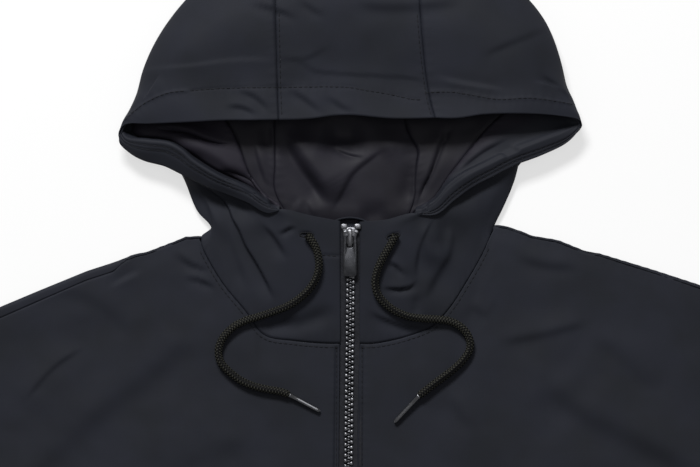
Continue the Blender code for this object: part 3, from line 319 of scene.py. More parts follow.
# Drawcord routes, from the eyelet to the tip: (x, y, z)
CORD_LEFT = [
    (-26.7, 257.5, 17.5), (-21.8, 251, 16.8), (-19.6, 244, 16.2), (-19.3, 237, 15.6),
    (-21.3, 230, 14.9), (-25.2, 223.9, 14.1), (-30.5, 218.7, 13.4), (-38.3, 213.5, 12.5),
    (-47, 210, 11.4), (-55.7, 207, 10.2), (-64.5, 204.4, 9.1), (-71.4, 200.9, 8.8),
    (-77, 195.7, 8.4), (-80.5, 190, 8.2), (-81.5, 184, 8), (-79.6, 178, 8),
    (-74.8, 172.7, 8.1), (-67.9, 167.4, 8.2), (-60.1, 163.9, 8.4), (-51.5, 161.8, 8.6),
    (-43.5, 160.4, 8.65), (-37.4, 158.3, 8.6),
]
CORD_RIGHT = [
    (28.5, 257.5, 17.7), (24.2, 250, 16.9), (19.8, 242.2, 16.2), (16.6, 234.4, 15.3),
    (15.5, 227.5, 14.5), (17.3, 220.5, 13.7), (21.6, 215.2, 13), (27.7, 210.5, 12.3),
    (35.6, 207.1, 11.7), (44.3, 205.7, 10.8), (52.9, 205.2, 9.8), (61.6, 204, 9),
    (68.6, 200.5, 8.7), (73, 195.3, 8.4), (74.5, 190, 8.2), (73.4, 184.8, 8.2),
    (69.4, 179.2, 8.3), (63.4, 173.6, 8.4), (56.4, 168.3, 8.5), (49.5, 163.1, 8.55),
    (42.5, 157.5, 8.5),
]
TIP_LEFT_END = (-18.7, 148.3, 7.3)
TIP_RIGHT_END = (27.5, 141.4, 7.1)
ZIP_BEND = [(HEM_Y, 0), (0, -1.2), (113, -1), (223, 0.3), (268, 0)]
# Folds, a row each: height and half width on the left of the line, height and
# half width on its right, how fast one turns into the other, and the line.
# Left is as one goes along the line.
FRONT_FOLDS = [
    (1.2, 12, 1.2, 12, 9, [(-205, 150), (-165, 192)]),
    (0.8, 30, 0.8, 30, 9, [(-255, 60), (-120, 120)]),
    (0.9, 34, 0.9, 34, 9, [(-210, -120), (-60, -60)]),
    (0.8, 36, 0.8, 36, 9, [(-240, -300), (-80, -250)]),
    (1, 10, 1, 10, 9, [(145, 190), (115, 200)]),
    (1, 34, 1, 34, 9, [(230, 60), (130, 150)]),
    (0.9, 34, 0.9, 34, 9, [(90, -40), (240, -110)]),
    (0.8, 38, 0.8, 38, 9, [(60, -240), (230, -310)]),
]
PLACKET_ROWS = {"left": [(1.1, 0.9, 0.05, [(-8.2, -440), (-8.2, 189)])],
                "right": [(1.1, 0.9, 0.05, [(7.6, -440), (7.6, 189)])]}
FACING_FOLDS = {
    "left": [
        (2.2, 5, 2.2, 4, 1, [(-116, 318), (-102.3, 314.3), (-88.7, 310), (-75.6, 301.9),
         (-64.5, 292.6)]),
        (1.4, 5, -3.4, 2.2, 0.6, [(-121.8, 324), (-101.7, 321.5), (-87.4, 316.2), (-71.9, 313.4)]),
        (-3.8, 3.4, -3.8, 3.4, 1.5, [(-82.1, 298), (-69.4, 292.4), (-61.6, 286.8), (-55, 280.5)]),
    ],
    "right": [
        (0.8, 5, -0.9, 4, 1, [(66, 296), (82, 309), (100, 318)]),
    ],
}
LINING_FOLDS_LEFT = [(-2.6, 5, -2.6, 5, 2, [(-52, 329), (-50, 320), (-51, 308)]),
                     (1.2, 6, -0.8, 5, 1.2, [(-60, 318), (-56, 302), (-50, 285)])]
LINING_FOLDS_CENTRE = [
    (5.2, 15, -5.4, 9, 3.4, [(-43, 322), (-35, 309.5), (-27, 298), (-18, 285.5), (-12.5, 275)]),
    (-0.7, 10, 1.1, 9, 0.9, [(24, 312.5), (13, 305), (1.2, 295.1), (-6.2, 282.1), (-13, 270)]),
    (3.4, 9, 3.4, 8, 3, [(15, 309), (25, 314), (33, 313.5), (42, 306)]),
    (-4.6, 10, -4.6, 12, 3, [(-20, 321), (0, 318), (12, 321.5)]),
    (-5.5, 3, -5, 6, 1.2, [(38, 305), (39.4, 294.5), (37.6, 285.2), (33, 273)]),
    (-2.5, 6, -2.5, 6, 2, [(26, 272), (14, 270), (4, 268)]),
    (0.8, 4, -0.7, 4, 1.2, [(-31.5, 282), (-34, 275), (-37.5, 268)]),
    (0.7, 4, -0.6, 4, 1.2, [(-27, 280), (-25, 274), (-22, 268)]),
    (0.9, 4, -1, 3, 0.7, [(-12, 312), (0, 307), (10, 305.5)]),
]
LINING_FOLDS_RIGHT = [(-2.4, 2.4, 1.2, 6, 0.6, [(62.5, 330), (59.5, 323), (54.6, 310),
         (49.3, 295.7), (45.3, 287.7), (40.9, 276.2)])]
SLEEVE_FOLDS = {
    "left": [(1, 16, 1, 16, 6, [(-330, 60), (-420, -80)]), (0.9, 14, 0.9, 14, 6, [(-400, -60),
         (-470, -170)]),
             (-0.8, 10, -0.8, 10, 4, [(-480, -180), (-530, -270)])],
    "right": [(1, 16, 1, 16, 6, [(340, 80), (430, -60)]), (0.9, 14, 0.9, 14, 6, [(400, -70), (480, -150)]),
              (-0.8, 10, -0.8, 10, 4, [(490, -170), (540, -260)])],
}

# Folds of the hood's outer face and of the fronts: height and half width on
# the left of the line, height and half width on its right, how fast one turns
# into the other, and the line. Left is as one goes along the line.
HOOD_FOLDS = [
    # across the crown
    (-0.35, 7, 0.35, 5, 0.45, [(-133, 359), (-116, 361), (-99.2, 362.1), (-71.9, 365.4),
         (-44.6, 365.6)]),
    (0.4, 6, -0.3, 5, 0.4, [(-52, 365.6), (-36, 365.8), (-28.8, 365.6), (-21, 369), (-10, 375.5)]),
    (0.4, 6, -0.3, 5, 0.4, [(-38.4, 365.2), (-26, 361.5), (-23.6, 359), (0, 356.5), (20.5, 355.3),
         (42.8, 353.4), (52, 351.5)]),
    (0.9, 7, -1.3, 4, 1, [(-66, 402.5), (-52, 398), (-40, 394), (-30, 389)]),
    (0.7, 6, -0.9, 4, 1.2, [(-32.5, 404), (-24, 397), (-14, 391.5)]),
    (1.2, 10, -1.2, 8, 3, [(0, 402), (14, 398), (30, 397.5), (52, 399), (72, 403)]),
    (1, 6, -1.2, 4, 1, [(-71, 346.5), (-60, 343.2), (-52, 336.5), (-48.5, 331.5)]),
    (1, 6, -1.2, 4, 1, [(-78, 336.5), (-66, 335.8), (-56, 330.5)]),
    (1, 6, -1.2, 4, 1.2, [(-40, 348), (-30, 342.5), (-20, 335), (-15, 331.5)]),
    (0.9, 6, -1.1, 4, 1.2, [(-16, 344.5), (-6, 337), (4, 332.5)]),
    (0.5, 8, -0.6, 5, 1.2, [(79.4, 367), (102.3, 377), (125.9, 386.3)]),
    (1, 7, -1.2, 4, 1, [(118, 357), (127, 350.5), (136.4, 341)]),
    (-0.6, 5, 0.8, 4, 0.9, [(50, 356.5), (64, 352.5), (84, 349), (98, 346.5)]),
    (-0.6, 5, 0.8, 4, 0.9, [(112, 352), (126, 350), (136, 344)]),
    # hollow under the lips
    (-2.5, 4, -4.5, 8, 1.5, [(-97, 288), (-90, 283.6), (-83.1, 280.2), (-70.7, 276.5), (-55.3, 268.3)]),
    (-3, 8, -1.5, 4, 1.5, [(102.4, 298), (86.8, 290.8), (74.4, 284), (61.2, 273.3)]),
    # collar, left of the zip
    (1.3, 8, -2.2, 6, 0.5, [(-97.3, 291.4), (-85.1, 283.3), (-76.3, 273.9), (-73, 267.1),
         (-68.9, 260.3), (-64.9, 250.9), (-56.7, 237.3), (-45.9, 215.8)]),
    (-1.5, 4, -1.5, 5, 1.5, [(-80, 266.6), (-74, 246.6), (-68.8, 231.8), (-64.4, 219.6)]),
    (0.9, 6, -2, 6, 1.4, [(-56.5, 266), (-47.3, 256.2), (-42, 248), (-37.8, 241.4)]),
    (0.7, 4, -1.6, 2.6, 0.7, [(-44.5, 256.6), (-39, 260.6), (-33, 263.4)]),
    (-2.2, 5, -2.2, 5, 1.5, [(-60, 200), (-43.5, 201.2), (-31.1, 207.3)]),
    (-2.1, 5, -2.1, 5, 1.5, [(-45.3, 197), (-29.6, 202.2), (-16.6, 207.5), (-10.5, 215.3)]),
    # collar, right of the zip
    (-1.4, 9, 0.5, 7, 0.8, [(52.9, 269), (46.9, 259.7), (43, 248.6), (41, 237), (41.2, 226.8)]),
    (-2.4, 7, -2.4, 6, 1.5, [(57, 271), (57, 256), (53, 243)]),
    (-1.1, 8, 1.2, 7, 2.2, [(62.5, 268.5), (64, 257.6), (61.8, 245.5), (56.4, 236), (51, 226.5),
         (45, 215)]),
    (1.2, 6, -2, 3, 0.7, [(19, 224.9), (23.8, 224.3), (31.2, 223.9), (38.2, 225.7), (41.2, 230.3)]),
    (1, 4, -1.6, 2.6, 0.7, [(22.4, 242.2), (30.7, 236), (34, 231)]),
    (-1, 3, -1, 3, 1.5, [(41.5, 221.3), (41.2, 205.9)]),
    (2.8, 9, 2.8, 17, 4, [(40, 256), (50, 257.5), (62, 259)]),
    (1.5, 15, -1.5, 20, 8, [(43, 241), (52, 243), (62, 246)]),
    # the two buttonholes, pressed in by the cord
    (-1.7, 1.5, -1.7, 1.5, 1, [(-31.6, 257.6), (-27, 257.4), (-22, 257.2)]),
    (-1.7, 1.5, -1.7, 1.5, 1, [(22.4, 255.4), (26.7, 256.6), (31.4, 257.8)]),
    (1.2, 6, -1.9, 5, 1.2, [(10.4, 211.7), (18.5, 206.3), (28, 202.6), (38.8, 199.8), (50.2, 201.3)]),
    # where the crown meets the left corner
    (-0.9, 5, 0.9, 6, 0.5, [(-128.7, 339.6), (-123, 348), (-117, 357.2)]),
]
FRONT_CREASES = [
    # left front
    (0.9, 5, -1.3, 4, 1, [(-110, 249), (-99.5, 239.5), (-86, 235.5)]),
    (0.9, 5, -1.1, 4, 1, [(-104, 231.5), (-93, 229), (-82, 224)]),
    (-0.7, 8, 0.4, 7, 0.8, [(-163, 188), (-182.3, 176), (-203.4, 152)]),
    (-0.8, 5, 0.6, 5, 0.8, [(-150, 224.5), (-139, 230.5), (-128, 235.5)]),
    (-1.4, 22, 1.3, 20, 7, [(-95, 196), (-120, 172), (-152, 148), (-196, 106),
         (-230, 60)]),
    (-0.8, 18, 0.8, 18, 6, [(-60, 130), (-105, 112), (-150, 70)]),
    (0.7, 14, -0.7, 12, 4, [(-200, 214), (-176, 222), (-150, 210), (-132, 190)]),
    # right front
    (1, 10, -0.8, 10, 2.2, [(90, 190.5), (110.3, 193.3), (128.6, 197.5), (150, 203.5)]),
    (0.6, 8, -0.6, 8, 2.5, [(72, 215), (88.2, 205.2)]),
    (0.9, 8, -0.9, 8, 2.6, [(100, 245), (121.3, 238.3), (144, 237.5)]),
    (1, 14, -0.7, 12, 5, [(146, 186), (158, 188.7), (170.9, 179.5), (180.1, 168.5), (190, 158)]),
    (2, 20, -1.9, 16, 7, [(118, 166), (130, 156.5), (147, 143.8), (174.6, 130),
         (204, 114), (238, 84)]),
    (0.8, 12, -0.8, 12, 4, [(60, 164), (66, 150), (80, 134)]),
]
# Rows of stitching that press a groove: depth, half width, pucker, and the line
HOOD_ROWS = [
    (-0.4, 1, 0.1, [(-141.2, 326.1), (-135.2, 332.1), (-127.1, 338.5), (-113.5, 344.7), (-99.2, 346.3)]),
    (0.3, 0.7, 0.14, [(-99.2, 346.3), (-78.7, 347.8), (-44.6, 348.4), (0, 348.4), (5.6, 347.2), (24.8, 344.1),
                       (38.4, 341), (46, 341)]),
    (-0.4, 1, 0.12, [(46, 345), (62, 345.6), (76.3, 343.4), (91, 341), (112, 341.8),
         (138.3, 337.9)]),
    (0.4, 1, 0, [(-18, 245), (-5.3, 244)]),
]


def through(knots, counts):
    """Smooth curves through knots along axis 0: centripetal Catmull-Rom, with
    counts[i] steps between knot i and the next, each column its own curve."""
    k = np.asarray(knots, float)
    if k.ndim == 2:
        return through(k[:, None, :], counts)[:, 0, :]
    step = np.maximum(np.linalg.norm(np.diff(k, axis=0), axis=2), 1e-6)[..., None] ** 0.5
    chord = np.diff(k, axis=0) / step
    slope = np.empty_like(k)
    both = (k[2:] - k[:-2]) / (step[:-1] + step[1:])
    slope[1:-1] = chord[:-1] - both + chord[1:]
    slope[0] = 1.5 * chord[0] - 0.5 * slope[1]
    slope[-1] = 1.5 * chord[-1] - 0.5 * slope[-2]
    rows = []
    for i, count in enumerate(counts):
        s = (np.arange(count) / count)[:, None, None]
        rows.append((2 * s ** 3 - 3 * s ** 2 + 1) * k[i]
                    + (s ** 3 - 2 * s ** 2 + s) * step[i] * slope[i]
                    + (3 * s ** 2 - 2 * s ** 3) * k[i + 1]
                    + (s ** 3 - s ** 2) * step[i] * slope[i + 1])
    rows.append(k[-1:])
    return np.concatenate(rows)


def unit(way):
    """Vectors along the last axis made one long."""
    return way / np.linalg.norm(way, axis=-1, keepdims=True)


def reached(points, axis=0):
    """How far each point is along its line, from the line's start."""
    step = np.linalg.norm(np.diff(points, axis=axis), axis=-1)
    start = np.zeros_like(np.take(step, [0], axis=axis))
    return np.concatenate([start, np.cumsum(step, axis=axis)], axis=axis)


def at_places(places, reach, values):
    """Each column of values, known at the distances reach, at other places."""
    return np.stack([np.interp(places, reach, column) for column in values.T], axis=1)


def even_points(curve, count):
    """count points at even distances along a finely sampled curve."""
    reach = reached(curve)
    return at_places(np.linspace(0.0, reach[-1], count), reach, curve)


def length_of(curve):
    return float(np.linalg.norm(np.diff(curve, axis=0), axis=1).sum())


def ease(value, low, high):
    """0 below low, 1 above high, smooth between."""
    t = np.clip((value - low) / (high - low), 0.0, 1.0)
    return t * t * (3.0 - 2.0 * t)


def smooth_line(points):
    line = np.array(points, float)
    return through(line, [5] * (len(line) - 1)) if len(line) > 2 else line


def beside(line, x, y):
    """For points x, y: the distance from a line, positive on its left, and how
    far along it the nearest point is."""
    best = np.full(x.shape, 1e9)
    signed = np.zeros(x.shape)
    along = np.zeros(x.shape)
    reach = 0.0
    for (ax, ay), (bx, by) in zip(line[:-1], line[1:]):
        run = math.hypot(bx - ax, by - ay)
        ux, uy = (bx - ax) / run, (by - ay) / run
        t = np.clip((x - ax) * ux + (y - ay) * uy, 0.0, run)
        dx, dy = x - ax - t * ux, y - ay - t * uy
        away = np.hypot(dx, dy)
        closer = away < best
        best = np.where(closer, away, best)
        signed = np.where(closer, np.where(ux * dy - uy * dx > 0, away, -away), signed)
        along = np.where(closer, reach + t, along)
        reach += run
    return signed, along, reach


def near_line(line, x, y, reach):
    low, high = line.min(axis=0) - reach, line.max(axis=0) + reach
    return (x > low[0]) & (x < high[0]) & (y > low[1]) & (y < high[1])


def folds(x, y, table):
    """Height added by soft folds. Each is a bump that falls off as
    exp(-(distance / half width) squared), with its own height and width on the
    two sides of its line, one side turning into the other as a tanh."""
    high = np.zeros(x.shape)
    for left, left_wide, right, right_wide, turn, points in table:
        line = smooth_line(points)
        near = near_line(line, x, y, FOLD_REACH * max(left_wide, right_wide))
        if not near.any():
            continue
        d, s, run = beside(line, x[near], y[near])
        taper = min(FOLD_TAPER * run, FOLD_TAPER_MOST)
        ends = ease(s, 0.0, taper) * (1 - ease(s, run - taper, run))
        mix = 0.5 + 0.5 * np.tanh(d / turn)
        high[near] += ends * (mix * left * np.exp(-(d / left_wide) ** 2)
                              + (1 - mix) * right * np.exp(-(d / right_wide) ** 2))
    return high


def stitched(x, y, table):
    """Height taken by rows of stitching: a narrow groove, and the cloth
    puckered beside it as a sine along the row that dies away from it."""
    high = np.zeros(x.shape)
    for depth, wide, pucker, points in table:
        line = smooth_line(points)
        near = near_line(line, x, y, ROW_REACH)
        if not near.any():
            continue
        d, s, run = beside(line, x[near], y[near])
        inside = ease(s, 0.0, ROW_TAPER) * (1 - ease(s, run - ROW_TAPER, run))
        ripple = (np.sin(2 * math.pi * s / PUCKER_LENGTH + 1.4 * np.sin(s / 8.0))
                  * np.exp(-(d / PUCKER_WIDE) ** 2))
        high[near] += inside * (pucker * ripple - depth * np.exp(-(d / wide) ** 2))
    return high


def rumple(x, y, seed, size):
    """Slow uneven undulation between about -1 and 1: sines of several lengths
    and directions, each bent by a slower one across it."""
    draw = np.random.default_rng(seed)
    total = np.zeros(x.shape)
    for _ in range(7):
        angle, phase = draw.uniform(0, 2 * math.pi, 2)
        run = size * draw.uniform(0.6, 1.9)
        u = x * math.cos(angle) + y * math.sin(angle)
        v = y * math.cos(angle) - x * math.sin(angle)
        total += np.sin(2 * math.pi * u / run + phase + 1.1 * np.sin(2 * math.pi * v / (1.7 * run) + 2 * phase))
    return total / 4.0


def rumpled(x, y, layers, sign=0):
    """The sum of layers of undulation, each its height times rumple, its seed
    shifted by the side's sign."""
    return sum(height * rumple(x, y, seed + sign, size) for height, size, seed in layers)


def normals(grid, flip=False):
    """Unit normals of a grid: the run down the rows crossed with the run
    across the columns."""
    n = np.cross(np.gradient(grid, axis=0), np.gradient(grid, axis=1))
    n /= np.maximum(np.linalg.norm(n, axis=-1, keepdims=True), 1e-9)
    return -n if flip else n


def raised(grid, up, height):
    """The grid moved along its visible normals by a height, less where the
    cloth stands or turns under."""
    share = ease(up[..., 2], 0.1, 0.6)
    return grid + up * (height * share)[..., None]


def pressed_seam(grid, up, side, depth=0.2, wide=0.7, pucker=0.1, at=0.0):
    """The grid pressed in along one border, or at a distance from it, as at a
    seam: depth times exp(-((distance - at) / wide) squared), and a pucker along
    it. side is "first row", "last row", "first column" or "last column"."""
    g = grid if "row" in side else grid.transpose(1, 0, 2)
    if "last" in side:
        g = g[::-1]
    away, s = reached(g), reached(g[0])
    ripple = np.sin(2 * math.pi * s / 5.6 + 1.7 * np.sin(s / 9.0))[None, :]
    dip = pucker * ripple * np.exp(-((away - 2.0) / 3.0) ** 2) - depth * np.exp(-((away - at) / wide) ** 2)
    if "last" in side:
        dip = dip[::-1]
    if "row" not in side:
        dip = dip.T
    return grid + up * dip[..., None]


def moved_in(grid, flip=False, distance=WALL + LAYER_GAP, slack=0.0):
    """The grid moved to where the layer inside it starts; slack is the share
    added to that distance, for each row."""
    return grid - normals(grid, flip) * distance * (1 + np.reshape(slack, (-1, 1, 1)))


def on_the_floor(grid, flip):
    """The grid raised where the cloth's wall would be below the surface."""
    g = grid.copy()
    g[..., 2] = np.maximum(g[..., 2], 0.0)
    g[..., 2] = np.maximum(g[..., 2], normals(g, flip)[..., 2] * SKIN)
    return g


def drawn_in(grid, first_row=0.0, last_row=0.0, first_column=0.0, last_column=0.0):
    """The grid with border points moved towards their neighbours by these
    distances, never past two fifths of the way."""
    g = grid.copy()

    def pull(border, inner, distance):
        away = inner - border
        run = np.linalg.norm(away, axis=-1, keepdims=True)
        return border + away / run * np.minimum(distance, 0.4 * run)

    g[:, 0] = pull(g[:, 0], g[:, 1], first_column)
    g[:, -1] = pull(g[:, -1], g[:, -2], last_column)
    g[0] = pull(g[0], g[1], first_row)
    g[-1] = pull(g[-1], g[-2], last_row)
    return g


# ---------------------------------------------------------------- meshes

def mesh_of(name, points, faces, uv=None, uv_faces=None):
    """A mesh from whole arrays: points in millimetres, faces a list of arrays
    of point numbers, each array with its own number of corners, and uv in
    millimetres along the piece."""
    mesh = bpy.data.meshes.new(name)
    corners = np.concatenate([f.ravel() for f in faces]).astype(np.int32)
    sizes = np.concatenate([np.full(len(f), f.shape[1]) for f in faces])
    mesh.vertices.add(len(points))
    mesh.vertices.foreach_set("co", (np.asarray(points, float) * MM).ravel())
    mesh.loops.add(len(corners))
    mesh.loops.foreach_set("vertex_index", corners)
    mesh.polygons.add(len(sizes))
    mesh.polygons.foreach_set("loop_start", (np.cumsum(sizes) - sizes).astype(np.int32))
    mesh.update(calc_edges=True)
    if uv is not None:
        picked = np.concatenate([f.ravel() for f in (uv_faces or faces)])
        mesh.uv_layers.new(name="cloth").data.foreach_set("uv", uv[picked].ravel())
    mesh.shade_smooth()
    return mesh


def grid_faces(rows, columns, around=False, flip=False, closed=False):
    """Point numbers of a grid's faces. around joins the last column to the
    first, and closed joins the last row to the first too."""
    index = np.arange(rows * columns).reshape(rows, columns)
    if closed:
        index = np.concatenate([index, index[:1]])
    if around or closed:
        index = np.concatenate([index, index[:, :1]], axis=1)
    faces = np.stack([index[:-1, :-1], index[1:, :-1], index[1:, 1:], index[:-1, 1:]], axis=-1)
    faces = faces.reshape(-1, 4)
    return faces[:, ::-1] if flip else faces


def cloth_uv(grid, around):
    """Distances along the columns and along the rows, from the first of each."""
    g = np.concatenate([grid, grid[:, :1]], axis=1) if around else grid
    return np.stack([reached(g, axis=1), reached(g)], axis=-1)


def piece(name, mesh, finish, nodes=(), body="garment"):
    """An object at the origin that rides on a body and stands for CAD nodes."""
    mesh.materials.append(finish)
    obj = bpy.data.objects.new(name, mesh)
    bpy.context.scene.collection.objects.link(obj)
    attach(obj, body)
    if nodes:
        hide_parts(*nodes)
    return obj


def cloth(name, grid, finish, node, wall=SKIN, around=False, flip=False):
    """A cloth piece: the grid is one face and Solidify gives the other."""
    rows, columns = grid.shape[:2]
    uv = cloth_uv(grid, around)
    uv_faces = grid_faces(rows, uv.shape[1], flip=flip)
    mesh = mesh_of(name, grid.reshape(-1, 3), [grid_faces(rows, columns, around, flip)],
                   uv.reshape(-1, 2), [uv_faces])
    obj = piece(name, mesh, finish, (node,))
    solid = obj.modifiers.new("Thickness", "SOLIDIFY")
    solid.thickness = wall * MM
    solid.offset = -1.0
    return obj


def tube_faces(rings, around, copies=1):
    """Quads round each tube of rings and a many-sided face at its two ends."""
    sides = grid_faces(rings, around, around=True, flip=True)
    ends = np.stack([np.arange(around), (rings * around - 1 - np.arange(around))])
    step = (np.arange(copies) * rings * around)[:, None, None]
    return [(sides[None] + step).reshape(-1, 4), (ends[None] + step).reshape(-1, around)]


def turned_out(points, faces):
    """The faces turned so that they point outwards: the volume under them,
    summed as fans from the origin, is positive."""
    volume = 0.0
    for f in faces:
        p = points[f]
        for k in range(1, f.shape[1] - 1):
            volume += np.einsum("ij,ij->i", p[:, 0], np.cross(p[:, k], p[:, k + 1])).sum()
    return faces if volume > 0 else [f[:, ::-1] for f in faces]


def solid_tube(name, grid, finish, nodes=(), body="garment", uv=None):
    """One or many closed tubes: grid is (rings, points round, 3) or, for many
    alike, (copies, rings, points round, 3)."""
    g = grid if grid.ndim == 4 else grid[None]
    copies, rings, around = g.shape[:3]
    points = g.reshape(-1, 3)
    faces = turned_out(points, tube_faces(rings, around, copies))
    return piece(name, mesh_of(name, points, faces, uv), finish, nodes, body)


def closed_ring(name, grid, finish, nodes=(), body="garment"):
    """A solid whose grid closes both ways, like a ring."""
    points = grid.reshape(-1, 3)
    faces = turned_out(points, [grid_faces(*grid.shape[:2], closed=True)])
    return piece(name, mesh_of(name, points, faces), finish, nodes, body)


def along(path):
    """Directions along a path, by its own up and side: along, side and up at
    each point, with up as near to the vertical as the path allows."""
    way = unit(np.gradient(path, axis=0))
    side = unit(np.cross(way, UPWARDS))
    return way, side, np.cross(side, way)


def full_turn(count):
    """count angles evenly round a circle, from 0."""
    return np.linspace(0.0, 2 * math.pi, count, endpoint=False)


def superellipse(turn, half_wide, half_high, power):
    """A rounded rectangle, |x/a|^n + |z/b|^n = 1, at the given angles."""
    c, s = np.cos(turn), np.sin(turn)
    return np.stack([half_wide * np.sign(c) * np.abs(c) ** (2 / power),
                     half_high * np.sign(s) * np.abs(s) ** (2 / power)], axis=1)


def round_profile(half_wide, half_high, power, count):
    """A superellipse whose first point is half a step round from the side."""
    return superellipse(full_turn(count) + math.pi / count, half_wide, half_high, power)


def lofted(profile, half, deep, x, y, z):
    """A profile carried along Y: for each section its half width and half
    depth, and the place of its middle."""
    half, deep, x, y, z = (np.broadcast_to(v, np.shape(y))[:, None] for v in (half, deep, x, y, z))
    return np.stack([x + profile[:, 0] * half, y + 0 * profile[:, 0], z + profile[:, 1] * deep], axis=-1)


def laid_on(objects, line):
    """Points of a line, (x, y) in millimetres, put down from above on to the
    outer faces of cloth pieces, and the normals there."""
    trees = []
    for obj in objects:
        mesh = obj.data
        points = np.empty(len(mesh.vertices) * 3)
        mesh.vertices.foreach_get("co", points)
        corners = np.empty(len(mesh.loops), dtype=np.int32)
        mesh.loops.foreach_get("vertex_index", corners)
        trees.append(BVHTree.FromPolygons((points.reshape(-1, 3) / MM).tolist(),
                                          corners.reshape(-1, 4).tolist()))
    places, ups = [], []
    for x, y in line:
        hits = [tree.ray_cast(Vector((x, y, 80.0)), Vector((0, 0, -1))) for tree in trees]
        hits = [h for h in hits if h[0] is not None]
        if hits:
            best = max(hits, key=lambda h: h[0].z)
            places.append(best[0])
            ups.append(best[1] if best[1].z > 0 else -best[1])
    return np.array(places), np.array(ups)


# ---------------------------------------------------------------- finishes

def linear(code):
    """sRGB hex to linear red, green, blue and alpha."""
    value = np.array([int(code[i:i + 2], 16) for i in (1, 3, 5)]) / 255.0
    out = np.where(value <= 0.04045, value / 12.92, ((value + 0.055) / 1.055) ** 2.4)
    return (*out.tolist(), 1.0)


def node(tree, kind, settings=None, inputs=None, links=None):
    """Adds a node: settings are its own choices, inputs its socket values, and
    links go from another node's output to this node's input."""
    made = tree.nodes.new("ShaderNode" + kind)
    for key, value in (settings or {}).items():
        setattr(made, key, value)
    for key, value in (inputs or {}).items():
        made.inputs[key].default_value = value
    for key, (source, output) in (links or {}).items():
        tree.links.new(source.outputs[output], made.inputs[key])
    return made


def principled(name, base, roughness, **others):
    """A material with one Principled shader, and that shader and its tree."""
    made = bpy.data.materials.new(name)
    made.use_nodes = True
    tree = made.node_tree
    shader = tree.nodes["Principled BSDF"]
    shader.inputs["Base Color"].default_value = linear(base)
    shader.inputs["Roughness"].default_value = roughness
    for key, value in others.items():
        shader.inputs[key.replace("_", " ")].default_value = value
    return made, tree, shader


def on_piece(tree):
    """Millimetres along the piece."""
    return node(tree, "UVMap", {"uv_map": "cloth"}), "UV"


def in_space(tree):
    """Place in metres."""
    return node(tree, "TexCoord"), "Object"


def blended(tree, shader, share, one, other):
    """Base colour that goes from one hex colour to another by a share."""
    mix = node(tree, "Mix", {"data_type": "RGBA"}, links={"Factor": share})
    mix.inputs[6].default_value, mix.inputs[7].default_value = linear(one), linear(other)
    tree.links.new(mix.outputs[2], shader.inputs["Base Color"])


def bumped(tree, shader, height, strength, distance):
    """The shader's normal moved by a height, the distance in metres."""
    bump = node(tree, "Bump", inputs={"Strength": strength, "Distance": distance},
                links={"Height": height})
    tree.links.new(bump.outputs["Normal"], shader.inputs["Normal"])


def mottled(tree, shader, where, one, other, size, low, high):
    """Base colour that drifts between two hex colours over patches of a size in
    metres, low and high being where the drift starts and ends."""
    patches = node(tree, "TexNoise", inputs={"Scale": 1.0 / size, "Detail": 3.0, "Roughness": 0.55},
                   links={"Vector": where})
    share = node(tree, "MapRange", inputs={"From Min": low, "From Max": high},
                 links={"Value": (patches, "Fac")})
    blended(tree, shader, (share, "Result"), one, other)


def thread_waves(tree, where, spacing, turned=0.0):
    """Two sets of bands at right angles, one thread spacing apart in the
    cloth's own millimetres, multiplied into a plain weave between 0 and 1."""
    laid = node(tree, "Mapping", inputs={"Rotation": (0.0, 0.0, turned)}, links={"Vector": where})
    bands = []
    for direction in ("X", "Y"):
        bands.append(node(tree, "TexWave", {"wave_type": "BANDS", "bands_direction": direction},
                          inputs={"Scale": 0.314159 / spacing, "Distortion": 0.6, "Detail": 1.0,
                                  "Detail Scale": 2.0},
                          links={"Vector": (laid, "Vector")}))
    return node(tree, "Math", {"operation": "MULTIPLY"},
                links={0: (bands[0], "Fac"), 1: (bands[1], "Fac")})


def shell_cloth():
    """Calendered polyester plain weave, dyed blue-black: a dull soft gloss on
    the folds. The real threads are 0.15 mm apart, too fine to show, so the
    weave is drawn at 0.9 mm and faint, over a 0.6 mm slub."""
    made, tree, shader = principled("woven polyester shell", "#1c1e25", 0.72,
                                    Specular_IOR_Level=0.15)
    laid = on_piece(tree)
    mottled(tree, shader, in_space(tree), "#1b1d23", "#1e2028", 0.035, 0.35, 0.65)
    weave = thread_waves(tree, laid, 0.9)
    slub = node(tree, "TexNoise", inputs={"Scale": 1.6, "Detail": 3.0, "Roughness": 0.6},
                links={"Vector": laid})
    both = node(tree, "Math", {"operation": "MULTIPLY_ADD"}, inputs={1: 0.35},
                links={0: (weave, "Value"), 2: (slub, "Fac")})
    bumped(tree, shader, (both, "Value"), 0.35, 0.00012)
    return made


def lining_cloth():
    """Polyester taffeta lining, a little purple, smooth filament threads that
    give it more gloss than the shell. Threads 0.12 mm, drawn at 0.8 mm."""
    made, tree, shader = principled("polyester taffeta lining", "#17161d", 0.62,
                                    Specular_IOR_Level=0.2)
    mottled(tree, shader, in_space(tree), "#15141b", "#1b1a22", 0.03, 0.35, 0.65)
    weave = thread_waves(tree, on_piece(tree), 0.8)
    bumped(tree, shader, (weave, "Value"), 0.2, 0.0001)
    return made


def facing_cloth():
    """The facing: shell cloth on the lip, lining taffeta from the stitched
    fold inwards, by the mesh's "lined" attribute. Drawn as the two are."""
    made, tree, shader = principled("shell and taffeta facing", "#1c1e25", 0.68, Specular_IOR_Level=0.17)
    lined = node(tree, "Attribute", {"attribute_name": "lined"})
    blended(tree, shader, (lined, "Fac"), "#1c1e25", "#201e26")
    weave = thread_waves(tree, on_piece(tree), 0.9)
    bumped(tree, shader, (weave, "Value"), 0.25, 0.0001)
    return made


